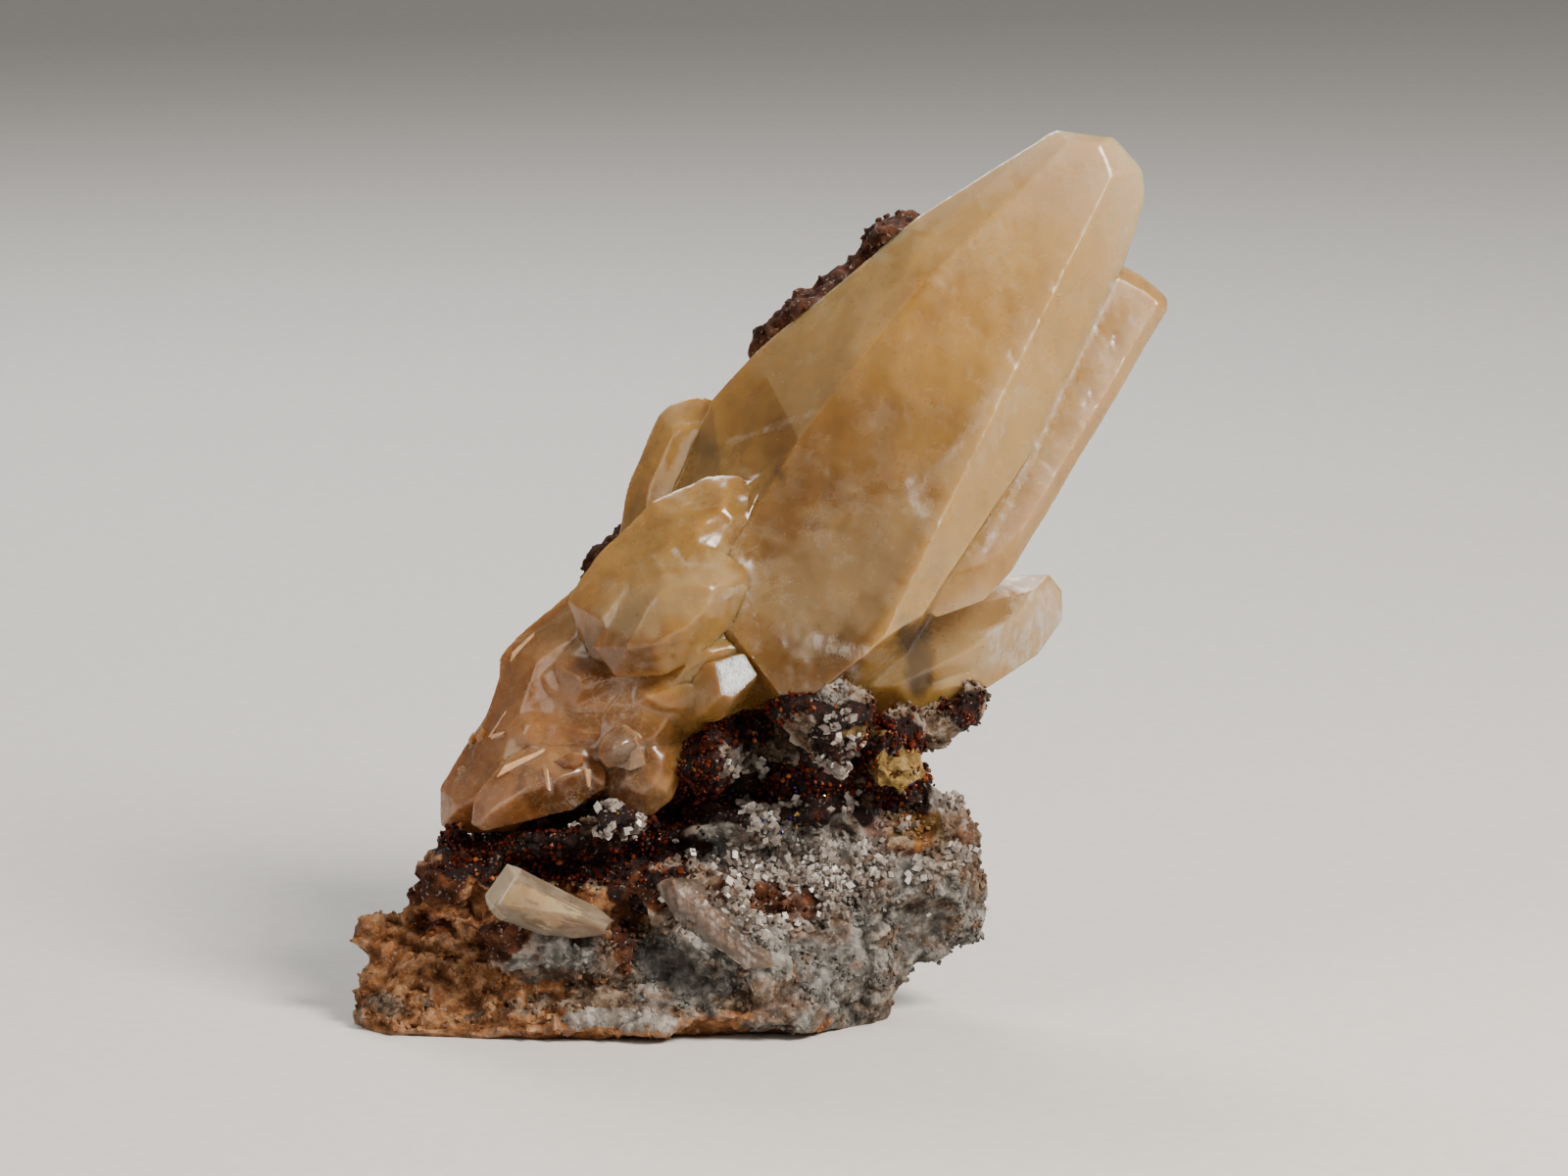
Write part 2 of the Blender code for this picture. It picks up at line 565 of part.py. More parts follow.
LEDGE_PRISM = {
    "girdle": [
        (-26.9, 15.6), (-24.7, 18.7), (-23.4, 18.5), (-16.0, 14.6), (-14.0, 13.0), (-14.8, 11.5),
        (-20.8, 10.9), (-25.3, 12.9), (-26.6, 14.1),
    ],
    "plane": (-21.0, 14.6, -20.6, 0, 0),
    "crown": 82,
    "pavilion": [70, 64, 60, 60, 70, 60, 60, 70, 70],
    "front": [(-19.2, 14.6, -23.4, -8, 10)],
    "back": [(-21.0, 14.6, -16.4, 0, 0)],
    "planes": [
        ((-24.5, 18.6, -20.4), (-16.2, 14.5, -20.4), (-19.2, 14.8, -23.3)),
        ((-25.6, 13.2, -20.6), (-17.0, 11.0, -20.6), (-19.2, 13.6, -23.2)),
        ((-26.9, 15.6, -20.4), (-24.7, 18.7, -20.4), (-24.4, 15.6, -23.0)),
    ],
}
LYING_PRISM = {
    "girdle": [
        (-9.9, 16.4), (-8.2, 17.3), (-5.8, 17.0), (-3.8, 15.6), (1.6, 10.0), (2.0, 8.4), (-0.8, 8.2),
        (-7.8, 13.0),
    ],
    "plane": (-4.0, 12.8, -19.4, 2, 30),
    "crown": [60, 50, 46, 40, 50, 50, 40, 50],
    "pavilion": 60,
    "front": [(-4.0, 12.8, -21.0, 2, 26), (-3.0, 13.8, -20.7, 12, 42)],
    "back": [(-4.0, 12.8, -14.0, 0, -30)],
}

# Roughness of the broken rock: size of the lumps and how far they stand out, both in mm
ROCK_GRAIN = [("CLOUDS", 6.0, 2.4), ("VORONOI", 4.0, -1.6), ("CLOUDS", 1.8, 1.1)]
ROCK_FINE = 0.75  # mm, the smallest step in the rock
ROCK_TRIANGLES = 5600


def evaluated(obj):
    """Puts the shape that the modifiers give in the object's own mesh."""
    bpy.context.view_layer.update()
    graph = bpy.context.evaluated_depsgraph_get()
    mesh = bpy.data.meshes.new_from_object(obj.evaluated_get(graph))
    obj.modifiers.clear()
    obj.data = mesh
    return obj


def boolean(obj, operation, tool):
    made = obj.modifiers.new(operation.lower(), "BOOLEAN")
    made.operation = operation
    made.solver = "EXACT"
    if isinstance(tool, bpy.types.Collection):
        made.operand_type = "COLLECTION"
        made.collection = tool
    else:
        made.object = tool


def remesh(obj, size):
    made = obj.modifiers.new("grains", "REMESH")
    made.mode = "VOXEL"
    made.voxel_size = size * MM


def displace(obj, kind, size, height):
    texture = bpy.data.textures.new(f"{kind.lower()}_{size}", kind)
    texture.noise_scale = size * MM
    made = obj.modifiers.new("roughness", "DISPLACE")
    made.texture = texture
    made.texture_coords = "LOCAL"
    made.strength = height * MM
    made.mid_level = 0.5


def keep_largest(mesh):
    """Takes away the chips that a cut leaves loose."""
    bm = bmesh.new()
    bm.from_mesh(mesh)
    left = set(bm.faces)
    chips = []
    while left:
        chip = {left.pop()}
        edge_of_chip = list(chip)
        while edge_of_chip:
            for edge in edge_of_chip.pop().edges:
                for face in edge.link_faces:
                    if face in left:
                        left.discard(face)
                        chip.add(face)
                        edge_of_chip.append(face)
        chips.append(chip)
    chips.sort(key=len)
    for chip in chips[:-1]:
        bmesh.ops.delete(bm, geom=list(chip), context="FACES")
    bm.to_mesh(mesh)
    bm.free()


def build_crystals(specimen):
    """All the crystals that have grown through each other, as one solid."""
    members = new_collection("crystal_members", hidden=True)
    names = list(CRYSTALS)
    for name in names[1:]:
        add_object(name, crystal_mesh(CRYSTALS[name]), members)
    cluster = add_object("calcite_cluster", crystal_mesh(CRYSTALS[names[0]]), specimen)
    boolean(cluster, "UNION", members)
    evaluated(cluster)
    for obj in list(members.objects):
        bpy.data.objects.remove(obj)
    bpy.data.collections.remove(members)
    return cluster


def build_rock(specimen):
    """The broken rock with the crust on it, cut flat below and hollowed where the crystals stand."""
    bm = bmesh.new()
    for spec in (*LUMPS.values(), *CRUST.values()):
        lump = crystal_mesh(spec)
        part = bpy.data.meshes.new("lump")
        lump.to_mesh(part)
        lump.free()
        bm.from_mesh(part)
        bpy.data.meshes.remove(part)
    rock = add_object("matrix_rock", bm, specimen)
    remesh(rock, ROCK_FINE)
    for kind, size, height in ROCK_GRAIN:
        displace(rock, kind, size, height)
    remesh(rock, ROCK_FINE)
    evaluated(rock)
    thin = rock.modifiers.new("thin", "DECIMATE")
    thin.ratio = ROCK_TRIANGLES / sum(len(face.vertices) - 2 for face in rock.data.polygons)
    evaluated(rock)

    tools = new_collection("rock_cutters", hidden=True)
    below = bmesh.new()
    bmesh.ops.create_cube(below, size=BLOCK)
    bmesh.ops.translate(below, verts=below.verts[:], vec=(0, 0, -BLOCK / 2))
    below.transform(world().inverted() @ Matrix.Scale(MM, 4))
    add_object("below_the_base", below, tools)
    for name, spec in {**CRYSTALS, "ledge": LEDGE_PRISM, "lying": LYING_PRISM}.items():
        add_object(f"room_for_{name}", crystal_mesh(spec, clearance=GAP), tools)
    for obj in tools.objects:
        obj.display_type = "WIRE"
    boolean(rock, "DIFFERENCE", tools)
    evaluated(rock)
    for obj in list(tools.objects):
        bpy.data.objects.remove(obj)
    bpy.data.collections.remove(tools)
    keep_largest(rock.data)
    return rock


def main():
    clear_scene()
    specimen = new_collection("calcite_specimen")
    ledge_prism = add_object("ledge_prism", crystal_mesh(LEDGE_PRISM), specimen)
    lying_prism = add_object("lying_prism", crystal_mesh(LYING_PRISM), specimen)
    pieces = [
        (build_rock(specimen), material("rock", ROCK)),
        (build_crystals(specimen), material("calcite", CALCITE)),
        (ledge_prism, material("clear_calcite", PALE_CALCITE)),
        (lying_prism, material("pink_calcite", PINK_CALCITE)),
    ]
    for obj, look in pieces:
        obj.data.materials.clear()
        obj.data.materials.append(look)


main()
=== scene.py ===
"""The looks of a calcite specimen: honey blades of calcite on rough rock with a dark sphalerite crust."""

import math
from functools import partial

import bmesh
import bpy
import numpy as np
from mathutils import Matrix, Vector, noise
from mathutils.bvhtree import BVHTree


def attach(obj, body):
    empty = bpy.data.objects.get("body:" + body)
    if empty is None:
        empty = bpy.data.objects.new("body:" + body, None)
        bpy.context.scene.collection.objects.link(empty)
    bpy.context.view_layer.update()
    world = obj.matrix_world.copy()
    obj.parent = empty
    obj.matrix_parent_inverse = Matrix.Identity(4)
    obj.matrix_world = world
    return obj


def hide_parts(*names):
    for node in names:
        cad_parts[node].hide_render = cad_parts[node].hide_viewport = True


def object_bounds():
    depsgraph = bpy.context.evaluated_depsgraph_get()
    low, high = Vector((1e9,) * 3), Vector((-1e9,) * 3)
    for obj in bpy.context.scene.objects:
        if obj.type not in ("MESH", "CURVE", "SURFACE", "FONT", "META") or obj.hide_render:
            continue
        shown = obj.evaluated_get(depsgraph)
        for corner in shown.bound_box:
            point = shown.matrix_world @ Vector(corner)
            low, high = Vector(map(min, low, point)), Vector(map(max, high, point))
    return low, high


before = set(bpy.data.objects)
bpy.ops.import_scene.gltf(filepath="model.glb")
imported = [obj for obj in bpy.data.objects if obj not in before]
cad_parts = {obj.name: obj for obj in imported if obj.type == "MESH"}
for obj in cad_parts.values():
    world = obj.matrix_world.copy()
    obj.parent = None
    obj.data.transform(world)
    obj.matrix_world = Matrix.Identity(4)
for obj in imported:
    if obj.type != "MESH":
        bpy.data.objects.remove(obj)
CAD_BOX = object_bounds()

MM = 0.001

# The drawn view is in millimetres, as the picture shows the specimen: x right, y away, z up. It is tipped
# by the angle at which the camera looks down, and lowered so that the underside lies on the floor.
# PICTURE_ZERO is the pixel of its x = z = 0, and IN_FRONT is a y in front of the whole specimen.
VIEW_TILT = math.radians(10.0)
BASE_DROP = 4.0
PIXELS_PER_MM = 10
PICTURE_ZERO = (770, 1062)
IN_FRONT = -60
DRAWN_TO_WORLD = (
    Matrix.Translation((0, 0, -BASE_DROP * MM)) @ Matrix.Rotation(-VIEW_TILT, 4, "X") @ Matrix.Scale(MM, 4)
)
WORLD_TO_DRAWN = DRAWN_TO_WORLD.inverted()

# Sizes of the detail, in mm
CRYSTAL_STEP = 0.55
PRISM_STEP = 0.3
FLAKE_THICK = 0.22
ROCK_STEP = 0.42
SPHALERITE_GRAIN = (0.25, 0.62)
DOLOMITE_GRAIN = (0.3, 0.85)
CHALCOPYRITE_GRAIN = (0.3, 0.6)
CRUMB_GRAIN = (0.2, 0.6)
SMALL_CALCITE = (3.0, 7.5)

# How many there are of each
SPHALERITE_COUNT = 6400
DOLOMITE_COUNT = 2300
CHALCOPYRITE_COUNT = 170
CRUMB_COUNT = 9000
SMALL_CALCITE_COUNT = 46

rng = np.random.default_rng(11)


def hex_colour(code):
    """A linear colour from an sRGB hex code."""
    parts = [int(code[i : i + 2], 16) / 255 for i in (1, 3, 5)]
    return (*[c / 12.92 if c <= 0.04045 else ((c + 0.055) / 1.055) ** 2.4 for c in parts], 1.0)


def to_drawn(points):
    """Points of the drawn view, in mm, from points of the scene."""
    m = np.array(WORLD_TO_DRAWN)
    return points @ m[:3, :3].T + m[:3, 3]


def pixel(u, v):
    """A place in the drawn view, in mm, from a place in the picture."""
    return (u - PICTURE_ZERO[0]) / PIXELS_PER_MM, (PICTURE_ZERO[1] - v) / PIXELS_PER_MM


# Meshes

def welded(name):
    """A copy of a solid of the frame, its corners joined again."""
    bm = bmesh.new()
    bm.from_mesh(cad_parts[name].data)
    bmesh.ops.remove_doubles(bm, verts=bm.verts[:], dist=2e-6)
    return bm


def put(name, mesh, material, slot, *nodes):
    """Shows a mesh as a piece of the specimen."""
    obj = bpy.data.objects.new(name, mesh)
    bpy.context.scene.collection.objects.link(obj)
    mesh.materials.clear()
    mesh.materials.append(material)
    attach(obj, "root")
    if nodes:
        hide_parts(*nodes)
    return obj


def coordinates(mesh):
    co = np.empty(len(mesh.vertices) * 3, np.float64)
    mesh.vertices.foreach_get("co", co)
    return co.reshape(-1, 3)


def normals(mesh):
    no = np.empty(len(mesh.vertices) * 3, np.float64)
    mesh.vertex_normals.foreach_get("vector", no)
    return no.reshape(-1, 3)


def set_coordinates(mesh, co):
    mesh.vertices.foreach_set("co", np.ascontiguousarray(co, np.float32).ravel())
    mesh.update()


def attribute(mesh, name, values, domain="POINT"):
    made = mesh.attributes.new(name, "FLOAT", domain)
    made.data.foreach_set("value", np.ascontiguousarray(values, np.float32))


def smooth(a, b, x):
    """0 on the side of a, 1 on the side of b, with a soft change between them."""
    t = np.clip((x - a) / (b - a), 0, 1)
    return t * t * (3 - 2 * t)


def clouds(points, size, depth=3, seed=0.0):
    """Soft noise at each point, about -1 to 1, with lumps of that size in mm."""
    shift = Vector((seed * 17.3, seed * 5.1, seed * 9.7))
    return np.array([noise.fractal(Vector(p) / size + shift, 1.0, 2.0, depth) for p in points])


def cells(points, size, seed=0.0):
    """Distance to the nearest cell middle, in cell sizes."""
    shift = Vector((seed * 3.3, seed * 7.9, seed * 1.7))
    return np.array([noise.voronoi(Vector(p) / size + shift)[0][0] for p in points])


def blocks(points, size, seed=0.0):
    """Heights of broken blocks of that size in mm, about -1 to 1, each with its own level and slope."""
    shift = Vector((seed * 4.1, seed * 6.3, seed * 2.9))
    # three places in the noise, far apart, give the three numbers of a block's slope
    apart = [Vector(way) for way in ((31, 0, 0), (0, 47, 0), (0, 0, 59))]
    found = []
    for p in points:
        place = Vector(p) / size + shift
        middle = noise.voronoi(place)[1][0]
        turn = Vector([noise.noise(middle * 7.13 + way) for way in apart])
        found.append(noise.noise(middle * 3.71) * 1.6 + (place - middle).dot(turn) * 1.4)
    return np.array(found)


def finely_cut(bm, step):
    """Divides the flat faces until no edge is longer than step, and keeps every corner where it is."""
    bmesh.ops.triangulate(bm, faces=bm.faces[:])
    for _ in range(12):
        long_edges = [e for e in bm.edges if e.calc_length() > step * MM]
        if not long_edges:
            break
        longest = max(e.calc_length() for e in long_edges)
        chosen = [e for e in long_edges if e.calc_length() > longest / 2]
        bmesh.ops.subdivide_edges(bm, edges=chosen, cuts=1)
        bmesh.ops.triangulate(bm, faces=[f for f in bm.faces if len(f.verts) > 3], quad_method="SHORT_EDGE")
    return bm


def rounded(co, edges, amount, rounds):
    """Softens corners and edges: each point moves towards its neighbours' middle by its amount."""
    count = np.bincount(edges.ravel(), minlength=len(co))[:, None]
    for _ in range(rounds):
        total = np.zeros_like(co)
        np.add.at(total, edges[:, 0], co[edges[:, 1]])
        np.add.at(total, edges[:, 1], co[edges[:, 0]])
        co = co + (total / count - co) * amount[:, None]
    return co


def edges_of(mesh):
    pairs = np.empty(len(mesh.edges) * 2, np.int32)
    mesh.edges.foreach_get("vertices", pairs)
    return pairs.reshape(-1, 2)


def thickness(tree, co, no, farthest=30.0):
    """How far it is through the crystal from each point, in mm."""
    just_inside = 0.00005
    found = []
    for p, n in zip(co, no):
        start = Vector(p) - Vector(n) * just_inside
        hit = tree.ray_cast(start, -Vector(n), farthest * MM)
        found.append(farthest if hit[0] is None else hit[3] / MM)
    return np.array(found)


def remeshed(mesh, size):
    """The same solid with an even grid of faces of that size, in mm."""
    obj = bpy.data.objects.new("blank", mesh)
    bpy.context.scene.collection.objects.link(obj)
    grid = obj.modifiers.new("grid", "REMESH")
    grid.mode = "VOXEL"
    grid.voxel_size = size * MM
    graph = bpy.context.evaluated_depsgraph_get()
    made = bpy.data.meshes.new_from_object(obj.evaluated_get(graph))
    bpy.data.objects.remove(obj)
    return made


# Materials

# The kinds of rock: the crust lies under the sphalerite, the others are stains and beds of the vein, and the
# umber far back behind the crystals is painted shade
ROCK_KINDS = ("crust", "grey", "brown", "umber_and_shade", "orange", "pale", "ochre")

# Settings that several nodes share. A Mix node of colours has its factor at 0, its colours at 6 and 7 and
# its result at 2. A MapRange node has its value at 0, its range at 1 and 2 and the new range at 3 and 4.
# The scale of a pattern is 1000 divided by the size of its lumps or lines in mm.
BLEND = {"data_type": "RGBA", "out": 2}
DARKEN = {"data_type": "RGBA", "blend_type": "MULTIPLY", "out": 2}
TIMES = {"operation": "MULTIPLY"}
TIMES_PLUS = {"operation": "MULTIPLY_ADD"}


def feed(made, inputs):
    """Links inputs of a node to sockets, or sets them to plain values."""
    for socket, source in inputs.items():
        if isinstance(source, bpy.types.NodeSocket):
            made.id_data.links.new(source, made.inputs[socket])
        else:
            made.inputs[socket].default_value = source


def node(tree, kind, inputs, stops=(), out=0, **settings):
    """Adds a node with its settings, its inputs and its colour stops, and gives one of its outputs."""
    made = tree.nodes.new("ShaderNode" + kind)
    for key, value in settings.items():
        setattr(made, key, value)
    feed(made, inputs)
    if stops:
        band = made.color_ramp
        while len(band.elements) < len(stops):
            band.elements.new(0.5)
        for element, (place, colour) in zip(band.elements, stops):
            element.position = place
            element.color = hex_colour(colour)
    return made.outputs[out]


def new_material(name):
    """An empty material, the function that adds nodes to it, and its shader."""
    made = bpy.data.materials.new(name)
    made.use_nodes = True
    tree = made.node_tree
    tree.nodes.clear()
    shader = tree.nodes.new("ShaderNodeBsdfPrincipled")
    output = tree.nodes.new("ShaderNodeOutputMaterial")
    tree.links.new(shader.outputs[0], output.inputs[0])
    return made, partial(node, tree), shader


def calcite(name, tones, warm, veil, rough, scatter, clear):
    """Calcite, grown: light goes into it, so it looks clouded and honey-coloured inside, with thin white
    veils, and its faces shine softly through fine growth lines."""
    made, add, shader = new_material(name)
    place = add("TexCoord", {}, out="Object")
    milky_and_lit, warmth, frost_and_highlight, see_through_shade, painted_shade, thin = (
        add("Attribute", {}, out="Fac", attribute_name=key)
        for key in ("milky_and_lit", "warmth", "frost_and_highlight", "see_through_shade", "painted_shade", "thin")
    )

    # clouds of tiny inclusions, 12 mm across with 1 mm wisps in them
    cloud = add("TexNoise", {
        "Vector": place, "Scale": 1000 / 12, "Detail": 6, "Roughness": 0.62, "Distortion": 0.6,
    })
    colour = add("ValToRGB", {0: cloud}, ((0.3, tones[0]), (0.5, tones[1]), (0.7, tones[2])))
    warm_colour = add("ValToRGB", {0: cloud}, ((0.32, warm[0]), (0.5, warm[1]), (0.68, warm[2])))
    colour = add("Mix", {0: warmth, 6: colour, 7: warm_colour}, **BLEND)
    along = add("Mapping", {
        "Vector": place, "Rotation": (0.0, math.radians(-27), 0.0), "Scale": (1, 1, 0.3),
    })
    mottle = add("TexNoise", {"Vector": along, "Scale": 1000 / 1.6, "Detail": 4, "Roughness": 0.6})
    shade = add("ValToRGB", {0: mottle}, ((0.3, "#9a9a9a"), (0.6, "#ffffff")))
    colour = add("Mix", {0: 0.3, 6: colour, 7: shade}, **DARKEN)
    # painted shade: darker low on the crystals and in the recesses between them
    colour = add("Mix", {0: painted_shade, 6: colour, 7: hex_colour("#a89c8c")}, **DARKEN)
    # painted shade seen through: grey-brown where the clear crystal would show the dark behind it, and in
    # recesses
    colour = add("Mix", {0: see_through_shade, 6: colour, 7: hex_colour("#4a3c2e")}, **BLEND)
    # milky veils, which also paint faces paler where the light falls on them
    milk = add("TexNoise", {
        "Vector": place, "Scale": 1000 / 3.2, "Detail": 5, "Roughness": 0.6, "Distortion": 0.5,
    })
    milk = add("MapRange", {0: milk, 1: 0.25, 2: 0.7, 3: 0.55, 4: 1.0})
    milk = add("Math", {0: milky_and_lit, 1: milk}, **TIMES)
    colour = add("Mix", {0: milk, 6: colour, 7: hex_colour(veil)}, **BLEND)
    # painted glow: thin edges painted paler, as if light shone through them
    edge_light = add("Math", {0: thin, 1: 0.6}, **TIMES)
    colour = add("Mix", {0: edge_light, 6: colour, 7: hex_colour("#d6bfa6")}, **BLEND)

    # white veils: healed cracks inside, drawn as thin bright threads where two halves of a noise meet
    thread = add("TexNoise", {
        "Vector": place, "Scale": 1000 / 5, "Detail": 5, "Roughness": 0.7, "Distortion": 1.4,
    })
    thread = add("Math", {0: thread, 1: 0.5}, operation="SUBTRACT")
    thread = add("Math", {0: thread}, operation="ABSOLUTE")
    thread = add("MapRange", {0: thread, 1: 0.0, 2: 0.018, 3: 1.0, 4: 0.0})
    patch = add("TexNoise", {"Vector": place, "Scale": 1000 / 9, "Detail": 2})
    patch = add("MapRange", {0: patch, 1: 0.52, 2: 0.66})
    thread = add("Math", {0: thread, 1: patch}, **TIMES)
    strength = add("MapRange", {0: warmth, 3: 0.16, 4: 0.5})
    thread = add("Math", {0: thread, 1: strength}, **TIMES)
    colour = add("Mix", {0: thread, 6: colour, 7: hex_colour("#e6dccf")}, **BLEND)

    # small cracks and bubbles inside the lower crystals, 0.4 to 1 mm, and brown stains of 2 mm
    flaw = add("TexNoise", {
        "Vector": place, "Scale": 1000 / 0.7, "Detail": 5, "Roughness": 0.75, "Distortion": 1.2,
    })
    flaw = add("MapRange", {0: flaw, 1: 0.52, 2: 0.66})
    flaw = add("Math", {0: flaw, 1: warmth}, **TIMES)
    flaw = add("Math", {0: flaw, 1: 0.45}, **TIMES)
    colour = add("Mix", {0: flaw, 6: colour, 7: hex_colour("#dcb283")}, **BLEND)
    stain = add("TexNoise", {
        "Vector": place, "Scale": 1000 / 2.2, "Detail": 5, "Roughness": 0.7, "Distortion": 1.0,
    })
    stain = add("MapRange", {0: stain, 1: 0.56, 2: 0.7})
    stain = add("Math", {0: stain, 1: warmth}, **TIMES)
    stain = add("Math", {0: stain, 1: 0.5}, **TIMES)
    colour = add("Mix", {0: stain, 6: colour, 7: hex_colour("#6b3a1c")}, **BLEND)

    # frosted places, and painted highlights along bright edges and cracks: pale wisps
    wisp = add("TexNoise", {
        "Vector": along, "Scale": 1000 / 0.9, "Detail": 6, "Roughness": 0.75, "Distortion": 0.8,
    })
    wisp = add("MapRange", {0: wisp, 1: 0.46, 2: 0.62})
    wisp = add("Math", {0: frost_and_highlight, 1: wisp}, **TIMES)
    colour = add("Mix", {0: wisp, 6: colour, 7: hex_colour("#d9d3cb")}, **BLEND)

    # the mirror-like end face: a painted reflection of the light, silvery, with scratches, which are finer
    # on the real one
    mirror = add("MapRange", {0: milky_and_lit, 1: 0.92, 2: 0.98})
    across = add("Mapping", {
        "Vector": place, "Rotation": (0.0, math.radians(50), 0.0), "Scale": (1, 1, 0.06),
    })
    scratch = add("TexNoise", {"Vector": across, "Scale": 1000 / 0.22, "Detail": 4, "Roughness": 0.7})
    painted_reflection = add("ValToRGB", {0: scratch}, ((0.38, "#7f878c"), (0.6, "#eef2f4")))
    colour = add("Mix", {0: mirror, 6: colour, 7: painted_reflection}, **BLEND)

    # growth lines 0.35 mm apart, as fine as the render can show, and a faint etch
    lines = add("TexWave", {
        "Vector": place, "Scale": 1000 / 0.7 / 6.28, "Distortion": 6.0, "Detail": 3.0, "Detail Scale": 0.6,
    }, out=1, bands_direction="DIAGONAL")
    etch = add("TexNoise", {"Vector": place, "Scale": 1000 / 0.5, "Detail": 4, "Roughness": 0.7})
    relief = add("Math", {0: lines, 1: 0.35, 2: etch}, **TIMES_PLUS)
    scored = add("Math", {0: mirror, 1: scratch}, **TIMES)
    relief = add("Math", {0: scored, 1: 2.5, 2: relief}, **TIMES_PLUS)
    bump = add("Bump", {"Strength": 0.22, "Distance": 0.00006, "Height": relief})

    # a soft shine, duller where frosted and in the scratches
    polish = add("TexNoise", {"Vector": place, "Scale": 1000 / 3.5, "Detail": 4, "Roughness": 0.6})
    polish = add("MapRange", {0: polish, 1: 0.35, 2: 0.7, 3: rough[0], 4: rough[1]})
    polish = add("Math", {0: frost_and_highlight, 1: 0.3, 2: polish}, **TIMES_PLUS)
    scored = add("Math", {0: mirror, 1: scratch}, **TIMES)
    polish = add("Math", {0: scored, 1: 0.4, 2: polish}, **TIMES_PLUS)

    # calcite bends light by 1.49 to 1.66; the red and yellow light goes furthest into it
    feed(shader, {
        "Base Color": colour, "Normal": bump, "Roughness": polish, "IOR": 1.58,
        "Transmission Weight": clear, "Subsurface Weight": scatter,
        "Subsurface Radius": (1.0, 0.62, 0.34), "Subsurface Scale": 0.0042,
    })
    return made


def rock_material():
    """Vein rock, broken: dull and gritty, brown with iron stain on the left and grey on the right, and
    nearly black with a slight shine where the sphalerite grows on it."""
    made, add, shader = new_material("vein_rock_broken")
    place = add("TexCoord", {}, out="Object")
    zone = {n: add("Attribute", {}, out="Fac", attribute_name=n) for n in ROCK_KINDS}

    # grains of 1.6 mm carry the shades of each kind of rock
    grain = add("TexNoise", {"Vector": place, "Scale": 1000 / 1.6, "Detail": 4, "Roughness": 0.6})
    patchy = add("TexNoise", {"Vector": place, "Scale": 1000 / 7, "Detail": 4, "Roughness": 0.6})
    colour = add("ValToRGB", {0: grain}, ((0.3, "#2a1b12"), (0.5, "#6b5441"), (0.68, "#998673")))
    brown = add("ValToRGB", {0: grain}, ((0.3, "#542f15"), (0.48, "#8c5a34"), (0.68, "#b7895e")))
    # dark brown, which at the back, behind the crystals, is painted shade
    umber_and_shade = add("ValToRGB", {0: grain}, ((0.28, "#170702"), (0.48, "#441f0b"), (0.7, "#6d3e1d")))
    grey = add("ValToRGB", {0: grain}, ((0.34, "#4a4641"), (0.5, "#6c6963"), (0.64, "#96938e")))
    # iron stain that has crept through the grey rock
    rust = add("TexNoise", {
        "Vector": place, "Scale": 1000 / 5, "Detail": 4, "Roughness": 0.6, "Distortion": 1.0,
    })
    rust = add("MapRange", {0: rust, 1: 0.5, 2: 0.62, 3: 0.0, 4: 0.65})
    rusty = add("ValToRGB", {0: grain}, ((0.3, "#4a2f1c"), (0.66, "#957052")))
    grey = add("Mix", {0: rust, 6: grey, 7: rusty}, **BLEND)
    orange = add("ValToRGB", {0: grain}, ((0.3, "#361608"), (0.52, "#733a1a"), (0.7, "#a3663a")))
    pale = add("ValToRGB", {0: grain}, ((0.3, "#4f463f"), (0.5, "#857b72"), (0.66, "#b8b0a8")))
    ochre = add("ValToRGB", {0: grain}, ((0.3, "#5e441f"), (0.5, "#97783f"), (0.7, "#c2a469")))
    crust = add("ValToRGB", {0: grain}, ((0.35, "#0a0302"), (0.55, "#220b06"), (0.72, "#451a0c")))
    for key, paint in (
        ("brown", brown), ("grey", grey), ("umber_and_shade", umber_and_shade), ("orange", orange),
        ("pale", pale), ("crust", crust), ("ochre", ochre),
    ):
        wobble = add("Math", {0: patchy, 1: 0.9, 2: zone[key]}, **TIMES_PLUS)
        inside = add("MapRange", {0: wobble, 1: 0.75, 2: 1.05})
        colour = add("Mix", {0: inside, 6: colour, 7: paint}, **BLEND)

    # each grain of the rock, 0.7 mm, has its own shade, and a few are pale
    single = add("TexVoronoi", {"Vector": place, "Scale": 1000 / 0.7}, out="Color")
    shade = add("ValToRGB", {0: single}, ((0.2, "#808080"), (0.8, "#ffffff")))
    colour = add("Mix", {0: 0.55, 6: colour, 7: shade}, **DARKEN)
    speck = add("TexNoise", {"Vector": place, "Scale": 1000 / 0.45, "Detail": 2})
    speck = add("MapRange", {0: speck, 1: 0.62, 2: 0.7})
    speck = add("Math", {0: speck, 1: 0.35}, **TIMES)
    colour = add("Mix", {0: speck, 6: colour, 7: hex_colour("#b9afa3")}, **BLEND)

    # pale worn ridges, except on the crust and the brown rock, and painted shade in the hollows
    hollow = add("Attribute", {}, out="Fac", attribute_name="hollow")
    worn = add("MapRange", {0: hollow, 1: 0.42, 2: 0.15, 3: 0.0, 4: 0.4})
    off_crust = add("MapRange", {0: zone["crust"], 1: 0.6, 2: 0.3})
    worn = add("Math", {0: worn, 1: off_crust}, **TIMES)
    off_brown = add("MapRange", {0: zone["brown"], 1: 0.3, 2: 0.8, 3: 1.0, 4: 0.2})
    worn = add("Math", {0: worn, 1: off_brown}, **TIMES)
    off_umber_and_shade = add("MapRange", {0: zone["umber_and_shade"], 1: 0.3, 2: 0.8, 3: 1.0, 4: 0.1})
    worn = add("Math", {0: worn, 1: off_umber_and_shade}, **TIMES)
    colour = add("Mix", {0: worn, 6: colour, 7: hex_colour("#b9b0a4")}, **BLEND)
    hollow_shade = add("MapRange", {0: hollow, 1: 0.5, 2: 0.9, 3: 0.0, 4: 0.65})
    colour = add("Mix", {0: hollow_shade, 6: colour, 7: hex_colour("#5c4030")}, **DARKEN)

